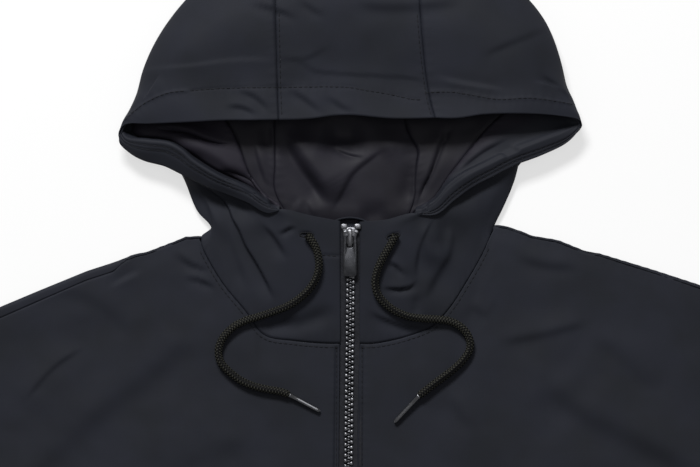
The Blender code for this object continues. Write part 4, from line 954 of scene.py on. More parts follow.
def tape_cloth():
    """Knitted polyester zip tape: matt, with wales 0.9 mm apart along it."""
    made, tree, shader = principled("knitted zip tape", "#1a1b20", 0.8, Specular_IOR_Level=0.25)
    laid = on_piece(tree)
    knit = thread_waves(tree, laid, 0.9, math.radians(20))
    mottled(tree, shader, laid, "#17181d", "#1e1f25", 3.0, 0.4, 0.6)
    bumped(tree, shader, (knit, "Value"), 0.6, 0.0002)
    return made


def sewing_thread():
    """Spun polyester thread: matt, a little lighter than the cloth where it
    stands proud and catches the light."""
    made, tree, shader = principled("spun polyester thread", "#15161a", 0.7, Specular_IOR_Level=0.2)
    mottled(tree, shader, in_space(tree), "#121317", "#1a1b20", 0.002, 0.4, 0.6)
    return made


def zip_metal(name, one, other):
    """Gunmetal-plated brass, tumbled, mottled between two tones, with fine
    scratches 0.2 mm wide that vary its gloss."""
    made, tree, shader = principled(name, one, 0.36, Metallic=1.0)
    place = in_space(tree)
    mottled(tree, shader, place, one, other, 0.004, 0.35, 0.65)
    scratch = node(tree, "TexNoise", inputs={"Scale": 900.0, "Detail": 2.0}, links={"Vector": place})
    gloss = node(tree, "MapRange", inputs={"To Min": 0.28, "To Max": 0.48},
                 links={"Value": (scratch, "Fac")})
    tree.links.new(gloss.outputs["Result"], shader.inputs["Roughness"])
    bumped(tree, shader, (scratch, "Fac"), 0.15, 0.00005)
    return made


def cord_braid():
    """Braided polyester cord, olive black: the strands are modelled. Their colour carries painted shade, near black
    down in the hollows where one strand goes under another and along the furrow, and lighter up on the strands.
    Filaments 0.3 mm apart are a fine bump."""
    made, tree, shader = principled("braided polyester cord", "#1c1c18", 0.65, Specular_IOR_Level=0.12)
    strand = node(tree, "Attribute", {"attribute_name": "strand"})
    # Painted shade: the braid's height, kept as "strand", is made into colour, near black low down and lighter up on
    # the strands.
    braid_painted_shade = node(tree, "MapRange", {"interpolation_type": "SMOOTHSTEP"},
                {"From Min": 0.42, "From Max": 0.85}, {"Value": (strand, "Fac")})
    blended(tree, shader, (braid_painted_shade, "Result"), "#040405", "#363630")
    fibres = node(tree, "TexNoise", inputs={"Scale": 3000.0, "Detail": 2.0},
                  links={"Vector": in_space(tree)})
    bumped(tree, shader, (fibres, "Fac"), 0.3, 0.0001)
    return made


def tip_metal():
    """Dark nickel tube with a lacquered shine, drawn lengthwise: faint ripples
    2 mm long."""
    made, tree, shader = principled("dark nickel aglet", "#77787c", 0.2, Metallic=1.0)
    ripple = node(tree, "TexNoise", inputs={"Scale": 500.0, "Detail": 1.0},
                  links={"Vector": in_space(tree)})
    bumped(tree, shader, (ripple, "Fac"), 0.08, 0.0001)
    return made


def table_top():
    """Opal acrylic light table: it glows evenly and reflects a little, so that
    shadows on it stay faint."""
    made, _, shader = principled("opal acrylic light table", "#ffffff", 0.9, Specular_IOR_Level=0.0)
    shader.inputs["Base Color"].default_value = (*[TABLE_WHITE] * 3, 1.0)
    shader.inputs["Emission Color"].default_value = (1.0, 1.0, 1.0, 1.0)
    shader.inputs["Emission Strength"].default_value = TABLE_GLOW
    return made


# ---------------------------------------------------------------- stage

def set_stage():
    """A camera straight above that sees 434 mm across, a light table, and soft
    light that is strongest from beyond the hood."""
    scene = bpy.context.scene
    lens = bpy.data.cameras.new("Camera")
    lens.type = 'PERSP'
    lens.sensor_width = 36.0
    lens.lens = 36.0 * CAMERA_HEIGHT / VIEW_WIDE
    lens.clip_end = 50.0
    camera = bpy.data.objects.new("Camera", lens)
    camera.location = (0.0, VIEW_MIDDLE_Y * MM, CAMERA_HEIGHT * MM)
    scene.collection.objects.link(camera)
    scene.camera = camera

    corner = np.array([[-1, -1], [1, -1], [1, 1], [-1, 1]]) * TABLE_HALF
    top = mesh_of("table", np.column_stack([corner, np.full(4, -TABLE_DROP)]), [np.array([[0, 1, 2, 3]])])
    top.materials.append(table_top())
    floor = bpy.data.objects.new("table", top)
    scene.collection.objects.link(floor)

    world = bpy.data.worlds.new("studio")
    world.use_nodes = True
    world.node_tree.nodes["Background"].inputs["Color"].default_value = (1.0, 1.0, 1.0, 1.0)
    world.node_tree.nodes["Background"].inputs["Strength"].default_value = WORLD_LIGHT
    scene.world = world
    for name, place, wide, power in LAMPS:
        light = bpy.data.lights.new(name, 'AREA')
        light.shape = 'RECTANGLE'
        light.size, light.size_y = wide
        light.energy = power
        lamp = bpy.data.objects.new(name, light)
        lamp.location = place
        lamp.rotation_euler = (Vector((0.0, 0.2, 0.0)) - Vector(place)).to_track_quat('-Z', 'Y').to_euler()
        scene.collection.objects.link(lamp)
    scene.view_settings.view_transform = 'Standard'
    scene.view_settings.look = 'None'
    scene.view_settings.exposure = 0.0


# ---------------------------------------------------------------- drawcord

def build_cord(side, route, tip_end, finish, tip_finish):
    """One free end of the drawcord: a round braid carried along its route, and
    its tip. The braid is two families of STRANDS strands that wind round in
    opposite ways; each strand's height is cos squared across it, and which
    family is on top changes at each crossing. A furrow that comes and goes as a
    sine runs along its top."""
    path = even_points(through(np.array(route), [8] * (len(route) - 1)), 560)
    run = length_of(path)
    _, out, up = along(path)
    s = np.linspace(0.0, run, len(path))[:, None]
    turn = full_turn(44)[None, :]
    one = math.pi * (turn * STRANDS / (2 * math.pi) + 0.25 + s / BRAID_PITCH)
    two = math.pi * (turn * STRANDS / (2 * math.pi) + 0.25 - s / BRAID_PITCH)
    over = np.cos(one) * np.cos(two)
    high = np.maximum(np.cos(one) ** 2 * (0.62 + 0.38 * over), np.cos(two) ** 2 * (0.62 - 0.38 * over))
    furrow = 0.45 + 0.4 * np.sin(2 * math.pi * s / 83.0 - 1.9)
    high = high * (1 - furrow * np.exp(-((turn - math.pi / 2 - 0.35 * np.sin(s / 17.0)) / 0.28) ** 2))
    end = 1 - 0.25 * ease(s, run - 2.0, run)
    radius = (CORD_RADIUS - BRAID_RELIEF * (1 - high)) * end
    grid = (path[:, None, :] + radius[..., None] * (np.cos(turn)[..., None] * out[:, None, :]
                                                    + np.sin(turn)[..., None] * up[:, None, :]))
    uv = np.stack(np.broadcast_arrays(turn * CORD_RADIUS, s), axis=-1)
    cord = solid_tube("drawcord_" + side, grid, finish, ("cord_" + side,),
                      uv=uv.reshape(-1, 2))
    # The braid's height, furrow included, goes to the cord's material as "strand", which paints shade into the hollows
    # and the furrow.
    cord.data.attributes.new("strand", 'FLOAT', 'POINT').data.foreach_set("value", high.ravel())

    tip_way = np.array(tip_end) - path[-1]
    share = np.array([-0.05, -0.045, 0.0, 0.03, 0.05, 0.3, 0.6, 0.9, 0.955, 0.985, 1.0])
    wide = np.array([0.9, 1.2, 1.45, 1.5, 1.3, 1.25, 1.25, 1.25, 1.2, 1.0, 0.6])
    core = path[-1] + tip_way * share[:, None]
    _, tout, tup = along(core)
    ring = round_profile(1.0, 1.0, 3.4, 28)[None]
    shaft = core[:, None, :] + wide[:, None, None] * (ring[..., :1] * tout[:, None, :]
                                                      + ring[..., 1:] * tup[:, None, :])
    tip = solid_tube("drawcord_tip_" + side, shaft, tip_finish, ("cord_tip_" + side,))


# ---------------------------------------------------------------- hood

def mirrored(rows, sign):
    """Rows of (out, y, z) as points, with x = sign * out."""
    knots = np.array(rows, float)
    knots[..., 0] *= sign
    return knots


def section_grid(knots, counts, flip):
    """A grid through sections of knots: counts steps from one section to the
    next, and HOOD_DOWN steps down a section."""
    rows = through(knots, counts)
    grid = through(rows.transpose(1, 0, 2), HOOD_DOWN).transpose(1, 0, 2)
    return on_the_floor(grid, flip)


def side_sections(table, sign):
    """The hood side's grid: rows round the opening, columns down a section."""
    return section_grid(mirrored([row[1:] for row in table], sign), HOOD_ROUND, sign > 0)


def centre_sections():
    """The centre panel's grid, between the last sections of the two sides."""
    knots = np.concatenate([mirrored([HOOD_LEFT[-1][1:]], -1),
                            mirrored([row[1:] for row in HOOD_CENTRE], 1),
                            mirrored([HOOD_RIGHT[-1][1:]], 1)])
    return section_grid(knots, HOOD_ACROSS, False)


def fine_row(section):
    """The hood side's row at a section of its table."""
    return sum(HOOD_ROUND[:section])


def corner_slack():
    """CORNER_SLACK in the hood side's rows round the corner, 0 away from them."""
    row = np.arange(sum(HOOD_ROUND) + 1)
    at = [fine_row(i) for i in range(len(HOOD_ROUND) + 1)]
    return CORNER_SLACK * ease(row, at[8], at[9]) * (1 - ease(row, at[13], at[15]))


def hood_relief(grid, flip, seed):
    """The shell with its folds, its stitched grooves and a soft rumple."""
    up = normals(grid, flip)
    x, y = grid[..., 0], grid[..., 1]
    high = folds(x, y, HOOD_FOLDS) + stitched(x, y, HOOD_ROWS)
    high = high + rumpled(x, y, [(*HOOD_RUMPLE, seed)])
    return on_the_floor(raised(grid, up, high), flip)


def facing_grid(shell, table, sign):
    """The facing: the hood's inner face from the edge over the crest, moved in
    by a layer, then down into the dip and up the swell to the lining's seam."""
    first, last = fine_row(FIRST_LIP) + 1, fine_row(LAST_LIP)
    over = moved_in(shell, sign > 0, LIP_GAP, corner_slack())[first:last + 1, :HOOD_DOWN[0] + 1]
    counts = HOOD_ROUND[FIRST_LIP:LAST_LIP]
    inside = mirrored([row[:3] for row in table], sign)
    inside[3:, 1, 2] += SWELL_LIFT[sign]
    inside = through(inside, counts)[1:]
    crest, dip = over[:, -1], inside[:, 0].copy()
    way = dip - crest
    way[:, 2] = 0.0
    run = np.linalg.norm(way, axis=1, keepdims=True)
    way = way / run
    share = ease(run, 2.0, 6.0)
    deep = CREVICE[sign] * share
    behind = crest + way * 0.8 - 0.35 * deep * UPWARDS
    dip = crest + way * np.minimum(run, CREVICE_OUT) - deep * UPWARDS
    near = dip + (inside[:, 1] - dip) * 0.22
    near[:, 2] = dip[:, 2] + (inside[:, 1, 2] - dip[:, 2]) * (0.22 + 0.58 * share[:, 0])
    knots = np.concatenate([over[:, -8:][:, ::7], behind[:, None], dip[:, None], near[:, None], inside[:, 1:]], axis=1)
    run = through(knots.transpose(1, 0, 2), (7, 4, 6, 7, 24, 20)).transpose(1, 0, 2)
    return np.concatenate([over[:, :-8], run], axis=1)


def lining_edges(table, below, above, sign):
    """The lining's two long seams on one side. The outer one lies under the
    facing's edge by the lap."""
    counts = [7] + list(HOOD_ROUND[FIRST_LIP:LAST_LIP]) + [8, 8]
    knots = np.array([row[2:] for row in table], float)
    knots[:, 0] += (LAP, 0.0, -WALL - LAYER_GAP - 0.3)
    rows = np.concatenate([np.array(below, float), knots, np.array(above, float)])
    rows = through(rows, [8] + counts)
    rows[..., 0] *= sign
    return rows[:, 0], rows[:, 1]


def between(one, other, columns):
    """A grid of straight lines from one seam to the other."""
    s = np.linspace(0.0, 1.0, columns)[None, :, None]
    return one[:, None, :] * (1 - s) + other[:, None, :] * s


def lining_panel(grid, table, seed):
    """The lining raised by its folds and a soft rumple, kept down at its seams."""
    calm = np.sin(math.pi * np.linspace(0.0, 1.0, grid.shape[1]))[None, :] ** 0.5
    x, y = grid[..., 0], grid[..., 1]
    grid = grid.copy()
    grid[..., 2] += calm * (folds(x, y, table) + rumpled(x, y, [(*LINING_RUMPLE, seed)]))
    grid[..., 2] = np.maximum(grid[..., 2], LINING_LOWEST)
    return grid


def build_hood(shell_finish, facing_finish, lining_finish):
    left = hood_relief(side_sections(HOOD_LEFT, -1), False, 11)
    right = hood_relief(side_sections(HOOD_RIGHT, 1), True, 12)
    centre = hood_relief(centre_sections(), False, 13)
    for name, grid, flip, sides in (
            ("hood_side_left", left, False, ("last row", "last column")),
            ("hood_side_right", right, True, ("last row", "last column")),
            ("hood_centre", centre, False, ("first row", "last row", "last column"))):
        up = normals(grid, flip)
        out = grid
        for side in sides:
            out = pressed_seam(out, up, side)
        out = drawn_in(out, **{side.replace(" ", "_"): SEAM_DRAWN for side in sides})
        cloth("shell_" + name, out, shell_finish, name, flip=flip)

    ends = {"first_row": 0.5, "last_row": SEAM_DRAWN, "first_column": EDGE_BACK}
    facings = {}
    for side, shell, table, sign in (("left", left, FACING_LEFT, -1), ("right", right, FACING_RIGHT, 1)):
        grid = facing_grid(shell, table, sign)
        up = -normals(grid, sign > 0)
        x, y = grid[..., 0], grid[..., 1]
        column = np.arange(grid.shape[1])[None, :]
        rows = sum(np.exp(-((column - at) / LIP_ROW_WIDE) ** 2) for at in LIP_ROWS[side])
        grid = raised(grid, up, folds(x, y, FACING_FOLDS[side]) + rumpled(x, y, FACING_RUMPLE, sign)
                      - LIP_ROW_DEPTH * rows)
        grid = pressed_seam(grid, up, "last column", 1.3, 1.0, 0.1)
        grid = drawn_in(grid, **ends)
        grid[..., 2] = np.maximum(grid[..., 2], FACING_LOWEST)
        facings[side] = (grid, up)
        lip = cloth("lip_facing_" + side, grid, facing_finish, "hood_facing_" + side, flip=sign > 0)
        lined = np.broadcast_to(ease(column, *LINED_FROM[sign]), grid.shape[:2])
        lip.data.attributes.new("lined", 'FLOAT', 'POINT').data.foreach_set("value", lined.ravel())

    first = fine_row(LAST_LIP)
    band = HOOD_DOWN[0] + 12
    under_left = moved_in(left, False, LIP_GAP, corner_slack())[first:-1, :band]
    under_right = moved_in(right, True, LIP_GAP, corner_slack())[first:-1, :band]
    brim = np.concatenate([under_left, moved_in(centre, False, LIP_GAP)[:, :band], under_right[::-1]])
    cloth("brim_facing_cloth", drawn_in(brim, first_column=EDGE_BACK), shell_finish, "brim_facing")

    seam_l, panel_l = lining_edges(FACING_LEFT, LINING_BELOW_LEFT, LINING_ABOVE_LEFT, -1)
    seam_r, panel_r = lining_edges(FACING_RIGHT, LINING_BELOW_RIGHT, LINING_ABOVE_RIGHT, 1)
    sides = {"first_column": 0.1, "last_column": 0.1}
    for name, grid, table, seed in (
            ("left", between(seam_l, panel_l, 24), LINING_FOLDS_LEFT, 31),
            ("centre", between(panel_l, panel_r, 70), LINING_FOLDS_CENTRE, 32),
            ("right", between(panel_r, seam_r, 24), LINING_FOLDS_RIGHT, 33)):
        grid = lining_panel(grid, table, seed)
        up = -normals(grid)
        for side, facing in (("first column", name == "left"), ("last column", name == "right")):
            grid = pressed_seam(grid, up, side, *((1.2, 1.0, 0.0, LAP + 0.3) if facing else (0.4, 0.9, 0.05)))
        cloth("lining_" + name, drawn_in(grid, **sides), lining_finish, "hood_lining_" + name)
    return left, right, centre, facings


# ---------------------------------------------------------------- body

def by_table(value, table, column=1):
    """A column of a table at a value of its first one, straight between rows."""
    rows = np.array(table, float)
    return np.interp(value, rows[:, 0], rows[:, column])


def side_out(y):
    """Half width of the body."""
    return by_table(y, SIDE_LINE)


def zip_height(y):
    """Height of the front's outer face at the zip's edge."""
    return by_table(y, ZIP_RISE)


def zip_x(y):
    """The zip's slight bend to one side, 0 at the hem."""
    return by_table(y, ZIP_BEND)


def shoulder_stations(sign, fine):
    """Places out along a shoulder: fine of them beside the neck, up to 222 mm
    out, then 13 further apart, on to the tip."""
    return np.concatenate([np.linspace(FOLD_STARTS[sign], 222.0, fine),
                           np.linspace(226.0, SHOULDER_TIP_OUT, 13)])


def front_height(x, y, shoulder_y):
    """Outer face of a front: flat at the side seam, raised by the zip, the
    shoulder and the armhole, with the soft folds added away from its edges."""
    out = np.abs(x)
    edge = side_out(y) - out
    below = shoulder_y - y
    high = SIDE_HEIGHT + (CHEST_HEIGHT - SIDE_HEIGHT) * ease(edge, 0.0, 60.0)
    by_armhole = ease(y, UNDERARM_Y - 20.0, UNDERARM_Y + 60.0) * (1 - ease(edge, 0.0, 90.0))
    high = high + (SLEEVE_DEPTH - high) * by_armhole
    high = high + (2 * SHOULDER_ROLL - high) * (1 - ease(below, 2.0, 45.0))
    by_zip = 1 - ease(out - ZIP_GAP_OUT, 2.0, 120.0)
    high = high + (zip_height(np.minimum(y, NECK_SEAM_Y)) - high) * by_zip
    calm = ease(edge, 4.0, 40.0) * ease(out, 20.0, 60.0) * ease(below, 8.0, 40.0)
    return high + calm * folds(x, y, FRONT_FOLDS)


def shoulder_line(table, out):
    """The shoulder's outline height and the seam's distance in front of it."""
    return by_table(out, table), by_table(out, table, 2)


def roll_end(forward):
    """How far round its roll the back has come where the shoulder seam is, and
    the height there: sin(angle) = 1 - forward / roll while that is positive."""
    angle = math.pi - np.arcsin(1 - np.minimum(forward, SHOULDER_ROLL) / SHOULDER_ROLL)
    return angle, SHOULDER_ROLL * (1 - np.cos(angle))


def build_front(side, neck, table, sign, finish):
    """Columns run from the hem up to the hood's neck seam, then to the shoulder
    seam, then to the tip; rows are closer together above VIEW_LOW_Y."""
    stations = shoulder_stations(sign, 76)
    line, forward = shoulder_line(table, stations)
    out = np.concatenate([np.abs(neck[:, 0]), stations])[:, None]
    top_y = np.concatenate([neck[:, 1], line - forward])[:, None]
    top_z = np.concatenate([neck[:, 2], roll_end(forward)[1]])[:, None]
    low = np.linspace(0.0, 1.0, 44, endpoint=False)[None, :]
    high = np.linspace(0.0, 1.0, 92)[None, :]
    y = np.concatenate([HEM_Y + (VIEW_LOW_Y - HEM_Y) * low + 0 * top_y, VIEW_LOW_Y + (top_y - VIEW_LOW_Y) * high],
                       axis=1)
    share = (out - ZIP_GAP_OUT) / (SHOULDER_TIP_OUT - ZIP_GAP_OUT)
    x = sign * (ZIP_GAP_OUT + (side_out(y) - ZIP_GAP_OUT) * share)
    shoulder_y = shoulder_line(table, np.maximum(out, table[0][0]))[0] + 0 * y
    z = front_height(x, y, shoulder_y)
    blend = 60.0 - 48.0 * ease(out, 50.0, FOLD_STARTS[sign])
    z = z + (top_z - z) * ease(y, top_y - blend, top_y)
    z = z + folds(x, y, FRONT_CREASES)
    calm = ease(side_out(y) - np.abs(x), 4.0, 30.0) * ease(top_y - y, 2.0, 25.0) * ease(np.abs(x), 12.0, 40.0)
    z = z + calm * rumpled(x, y, FRONT_RUMPLE, sign)
    z = z + stitched(x, y, PLACKET_ROWS[side])
    by_side = np.exp(-((side_out(y) - np.abs(x)) / 4.0) ** 2) * (1 - ease(y, UNDERARM_Y - 25.0, UNDERARM_Y - 5.0))
    z = z + (SKIN + 0.1 - z) * by_side
    x = x + zip_x(y) * (1 - ease(np.abs(x), 30.0, 90.0))
    z = z - 0.9 * np.exp(-((np.abs(x) - ZIP_GAP_OUT) / 0.7) ** 2)
    grid = np.stack([x, y, z], axis=-1)
    up = normals(grid, sign < 0)
    grid = pressed_seam(grid, up, "last column", 0.12, 0.7, 0.12)
    grid = drawn_in(grid, last_row=SEAM_DRAWN, last_column=SEAM_DRAWN)
    return cloth("front_cloth_" + side, grid, finish, "front_" + side, flip=sign < 0)


def build_back(left, right, centre, finish):
    """Flat on the surface; at the shoulders it rolls over forward to the
    shoulder seam, and at the neck it ends at the hood's seam."""
    first = fine_row(NECK_BACK)
    stations, stations_r = (shoulder_stations(sign, 50) for sign in (-1, 1))
    neck = np.concatenate([left[first::4, -1], centre[4:-1:4, -1], right[first::4, -1][::-1]])
    x_top = np.concatenate([-stations[::-1], neck[:, 0], stations_r])
    at_neck = np.concatenate([np.zeros(len(stations)), np.ones(len(neck)), np.zeros(len(stations))]) > 0
    line_l, forward_l = shoulder_line(SHOULDER_LEFT, np.abs(x_top))
    line_r, forward_r = shoulder_line(SHOULDER_RIGHT, np.abs(x_top))
    line = np.where(x_top < 0, line_l, line_r)
    forward = np.where(x_top < 0, forward_l, forward_r)
    line[at_neck] = neck[:, 1] + NECK_END
    forward[at_neck] = 4.0
    folded = np.where(at_neck, 0.0, 1.0)
    turns = roll_end(forward)[0][:, None] * np.linspace(0.12, 1.0, 9)[None, :]
    flat_y = line - SHOULDER_ROLL
    rows = 60
    t = 1 - (1 - np.linspace(0.0, 1.0, rows)) ** 1.5
    y = HEM_Y + (flat_y[:, None] - HEM_Y) * t[None, :]
    across = (x_top / SHOULDER_TIP_OUT)[:, None] * side_out(y)
    steps = turns.shape[1] + 4
    ahead = np.linspace(0.2, 5 * NECK_STEP, steps)[None, :]
    tail_y = (SHOULDER_ROLL - forward + 0.1)[:, None] * np.linspace(0.25, 1.0, 4)[None, :]
    short = (forward < SHOULDER_ROLL)[:, None]
    end_y = SHOULDER_ROLL * np.sin(turns[:, -1:])
    tail_y = np.where(short, end_y - np.linspace(0.02, 0.08, 4)[None, :], tail_y)
    end_z = SHOULDER_ROLL * (1 - np.cos(turns))
    roll_y = np.concatenate([SHOULDER_ROLL * np.sin(turns), tail_y], axis=1)
    roll_z = np.concatenate([end_z, np.repeat(end_z[:, -1:], 4, axis=1)], axis=1)
    share = folded[:, None]
    top_y = flat_y[:, None] + share * roll_y + (1 - share) * ahead
    top_x = across[:, -1:] + 0 * top_y
    z = np.concatenate([0 * y, share * roll_z], axis=1)
    grid = np.stack([np.concatenate([across, top_x], axis=1), np.concatenate([y, top_y], axis=1), z], axis=-1)
    up = normals(grid, True)
    grid[..., 2] += rumpled(grid[..., 0], grid[..., 1], BACK_RUMPLE) * ease(up[..., 2], 0.3, 0.8) * share
    grid = pressed_seam(grid, up * share[..., None], "last column", 0.15, 0.8, 0.12)
    grid = drawn_in(grid, first_row=SEAM_DRAWN, last_row=SEAM_DRAWN)
    cloth("back_cloth", grid, finish, "back", flip=True)


def build_sleeve(side, table, sign, finish):
    """A flat tube from the armhole to the cuff. Round a section the points run
    out along the under wall and back along the upper: a superellipse-ended
    strip, height = depth/2 * (1 +- sqrt of the closeness to the edges)."""
    tip_y = shoulder_line(table, SHOULDER_TIP_OUT)[0]
    way = np.array([math.cos(SLEEVE_FALL), -math.sin(SLEEVE_FALL)])
    cuff_top = np.array([SHOULDER_TIP_OUT, tip_y]) + way * SLEEVE_LENGTH
    cuff_low = cuff_top + np.array([-way[1], way[0]]) * -CUFF_WIDTH
    turn = full_turn(96)
    share = 0.5 - 0.5 * np.cos(turn)
    arm_y = UNDERARM_Y + (tip_y - UNDERARM_Y) * share
    armhole = np.stack([side_out(arm_y) + ARMHOLE_GAP, arm_y], axis=1)
    cuff = cuff_low + (cuff_top - cuff_low) * share[:, None]
    t = np.linspace(0.0, 1.0, 150)[:, None, None]
    flat = armhole[None] * (1 - t) + cuff[None] * t
    wide = np.linalg.norm(flat[:, 48] - flat[:, 0], axis=1)[:, None]
    edge = np.minimum(share, 1 - share)[None] * wide
    bulge = np.sqrt(np.clip(1 - (1 - np.clip(edge / 2.5, 0, 1)) ** 2, 0, 1))
    side_up = np.where(turn < math.pi, -1.0, 1.0)[None]
    z = SLEEVE_DEPTH / 2 * (1 + side_up * bulge)
    x, y = sign * flat[..., 0], flat[..., 1]
    s = t[..., 0] * SLEEVE_LENGTH
    top = (side_up > 0) * ease(edge, 2.0, 18.0) * ease(s, 4.0, 30.0)
    z = z + top * (rumpled(x, y, SLEEVE_RUMPLE, sign) + folds(x, y, SLEEVE_FOLDS[side]))
    hem_row = 0.5 * np.exp(-((s - SLEEVE_LENGTH + CUFF_HEM) / 1.3) ** 2)
    z = z - (side_up > 0) * hem_row * ease(edge, 0.5, 3.0)
    grid = np.stack([x, y, z], axis=-1)
    cloth("sleeve_cloth_" + side, grid, finish, "sleeve_" + side, around=True,
          flip=sign > 0)


# ---------------------------------------------------------------- zip

def ribbon(x_low, x_high, y_low, y_high, drop, across=8, fine_end=0.0):
    """A strip along the zip, its top face the given drop under the cloth's
    face, with a length at its upper end in steps of 0.4 mm."""
    y = np.linspace(y_low, y_high - fine_end, int((y_high - fine_end - y_low) / 3.0) + 2)
    y = np.concatenate([y, np.linspace(y_high - fine_end, y_high, int(fine_end / 0.4) + 1)[1:]])[None, :]
    x = np.linspace(x_low, x_high, across)[:, None]
    return np.stack([x + zip_x(y), y + 0 * x, zip_height(y) - drop + 0 * x], axis=-1)


def build_teeth(finish):
    """Each tooth is a bulb on its tape that narrows to a neck past the middle:
    rounded sections at set places across the zip, their heights along it and
    their depths given, and every second one of the other side in between."""
    low = HEM_Y + HEM_BACK + ZIP_BOX_LENGTH + 1.8
    high = SLIDER_Y + SLIDER_AHEAD - SLIDER_LENGTH - 1.2
    out = np.array([2.75, 2.6, 2.0, 1.2, 0.8, 0.1, -0.5, -0.75])
    half = np.array([0.85, 1.22, 1.32, 1.2, 0.62, 0.52, 0.5, 0.3])
    deep = np.array([0.9, 1.25, 1.35, 1.3, 1.0, 0.95, 0.95, 0.6])
    profile = round_profile(1.0, 1.0, 3.2, 8)
    rings = np.stack([np.broadcast_to(out[:, None], (len(out), 8)),
                      profile[None, :, 0] * half[:, None], profile[None, :, 1] * deep[:, None]], axis=-1)
    sets = []
    for sign, start in ((-1, 0.0), (1, TEETH_PITCH / 2)):
        y = np.arange(low + start, high, TEETH_PITCH)
        tooth = np.broadcast_to(rings, (len(y),) + rings.shape).copy()
        tooth[..., 0] = sign * tooth[..., 0] + zip_x(y)[:, None, None]
        slope = np.gradient(zip_height(y), y)[:, None, None]
        rise = zip_height(y) + TEETH_RISE - TEETH_DEPTH / 2
        tooth[..., 2] += rise[:, None, None] + slope * tooth[..., 1]
        tooth[..., 1] += y[:, None, None]
        sets.append(tooth)
    solid_tube("zip_teeth_row", np.concatenate(sets), finish, ("zip_teeth",))


def slider_frame():
    """The slider's place and slope: its origin is on the pull tab's bar."""
    low_y = ZIP_TOP_Y - SLIDER_RUN
    slope = math.atan2(zip_height(ZIP_TOP_Y) - zip_height(low_y), SLIDER_RUN)
    top = zip_height(SLIDER_Y) + SLIDER_RISE
    return np.array([0.0, SLIDER_Y, top + BRIDGE_ROOM / 2]), slope


def on_slider(points):
    place, slope = slider_frame()
    c, s = math.cos(slope), math.sin(slope)
    x, y, z = points[..., 0], points[..., 1], points[..., 2]
    return np.stack([x, c * y - s * z, s * y + c * z], axis=-1) + place


def build_slider(finish):
    """The slider: a body lofted along the zip, wide at its shoulders and
    narrow at its tail, a bridge carried along an arch, and the zip's two top
    stops."""
    body_top = -BRIDGE_ROOM / 2
    profile = round_profile(1.0, 1.0, 4.5, 20)
    y = np.array([-8.0, -7.8, -7.2, -4.5, -1.0, 1.8, 3.6, 4.6, 4.9, 5.0])
    half = np.array([3.0, 3.5, 3.7, 3.75, 4.1, 4.6, 4.7, 4.5, 4.0, 3.2])
    deep = np.array([0.6, 1.0, 1.35, 1.4, 1.4, 1.4, 1.4, 1.2, 0.9, 0.4])
    body = lofted(profile, half, deep, 0.0, y, body_top - SLIDER_DEPTH / 2)
    body[..., 2] -= 1.5 * ease(-body[..., 1], 3.6, 6.0)
    solid_tube("zip_slider_body", on_slider(body), finish, ("zip_slider",))

    mid_y = SLIDER_AHEAD - SLIDER_LENGTH / 2 + 0.2
    half_run = BRIDGE_LENGTH / 2 - 0.5
    turn = np.linspace(math.pi, 0.0, 25)
    rise = BRIDGE_ROOM / 2 + 0.45
    arch_y = mid_y + half_run * np.sign(np.cos(turn)) * np.abs(np.cos(turn)) ** 0.45
    arch_z = body_top - 0.3 + (rise - body_top + 0.3) * np.abs(np.sin(turn)) ** 0.45
    path = np.stack([0 * arch_y, arch_y, arch_z], axis=1)
    way = unit(np.gradient(path, axis=0))
    over = np.stack([0 * arch_y, -way[:, 2], way[:, 1]], axis=1)
    bar = round_profile(BRIDGE_WIDTH / 2, 0.5, 3.0, 12)
    bridge = path[:, None, :] + bar[None, :, :1] * np.array([1.0, 0, 0]) + bar[None, :, 1:] * over[:, None, :]
    solid_tube("zip_slider_bridge", on_slider(bridge), finish)

    stop_y = np.array([-1.6, -1.5, -1.0, 0.0, 1.0, 1.5, 1.6])
    stop_half = np.array([1.3, 1.9, 2.15, 2.2, 2.15, 1.9, 1.3])
    stop_deep = np.array([0.5, 0.95, 1.15, 1.2, 1.15, 0.95, 0.5])
    stops, ring = [], round_profile(1.0, 1.0, 4.0, 16)
    for sign in (-1, 1):
        for y_at, size in ((ZIP_TOP_Y - 1.4, 1.0), (ZIP_TOP_Y - 4.8, 0.6)):
            x_at = sign * (4.2 if size == 1.0 else 3.4) + 0.6
            stops.append(lofted(ring, stop_half * size, stop_deep, x_at, y_at + stop_y * size,
                                zip_height(y_at) + 0.5))
    solid_tube("zip_top_stops", np.array(stops), finish)


def tab_outline(half_wide, low, high, power, count, narrow=0.0):
    """A rounded oblong round the tab, its upper end narrower by a share."""
    x, y = superellipse(full_turn(count), half_wide, (high - low) / 2, power).T
    y = y + (low + high) / 2
    return np.stack([x * (1 - narrow * ease(y, low, high)), y], axis=1)


def build_tab(finish):
    """The pull tab hangs from its bar: across each section, the plate goes
    from the slot's edge to the outline, rounded at both edges."""
    count = 96
    outer = tab_outline(TAB_WIDTH / 2, TAB_BAR / 2 - TAB_LENGTH, TAB_BAR / 2, 9.0, count, 0.06)
    inner = tab_outline(SLOT_WIDTH / 2 - 0.2, -TAB_BAR / 2 - SLOT_LENGTH, -TAB_BAR / 2, 3.4, count)
    r, h = 0.32, TAB_THICK / 2
    wide = np.linalg.norm(outer - inner, axis=1)[:, None]
    steps = [(0.0, -h + r), (0.0, h - r), (0.3 * r, h - 0.3 * r), (r, h), (-1.6 * r, h),
             (-0.75 * r, h - 0.08), (-0.3 * r, h - 0.3 * r), (-1e-9, h - r), (-1e-9, -h + r),
             (-0.3 * r, -h + 0.3 * r), (-r, -h), (r, -h), (0.3 * r, -h + 0.3 * r)]
    rings = []
    for inset, z in steps:
        share = inset / wide if inset >= 0 else 1 + inset / wide
        flat = inner + (outer - inner) * share
        rings.append(np.concatenate([flat, np.full((count, 1), z)], axis=1))
    closed_ring("pull_tab_plate", on_slider(np.array(rings)), finish, ("zip_pull",),
                "pull_tab")


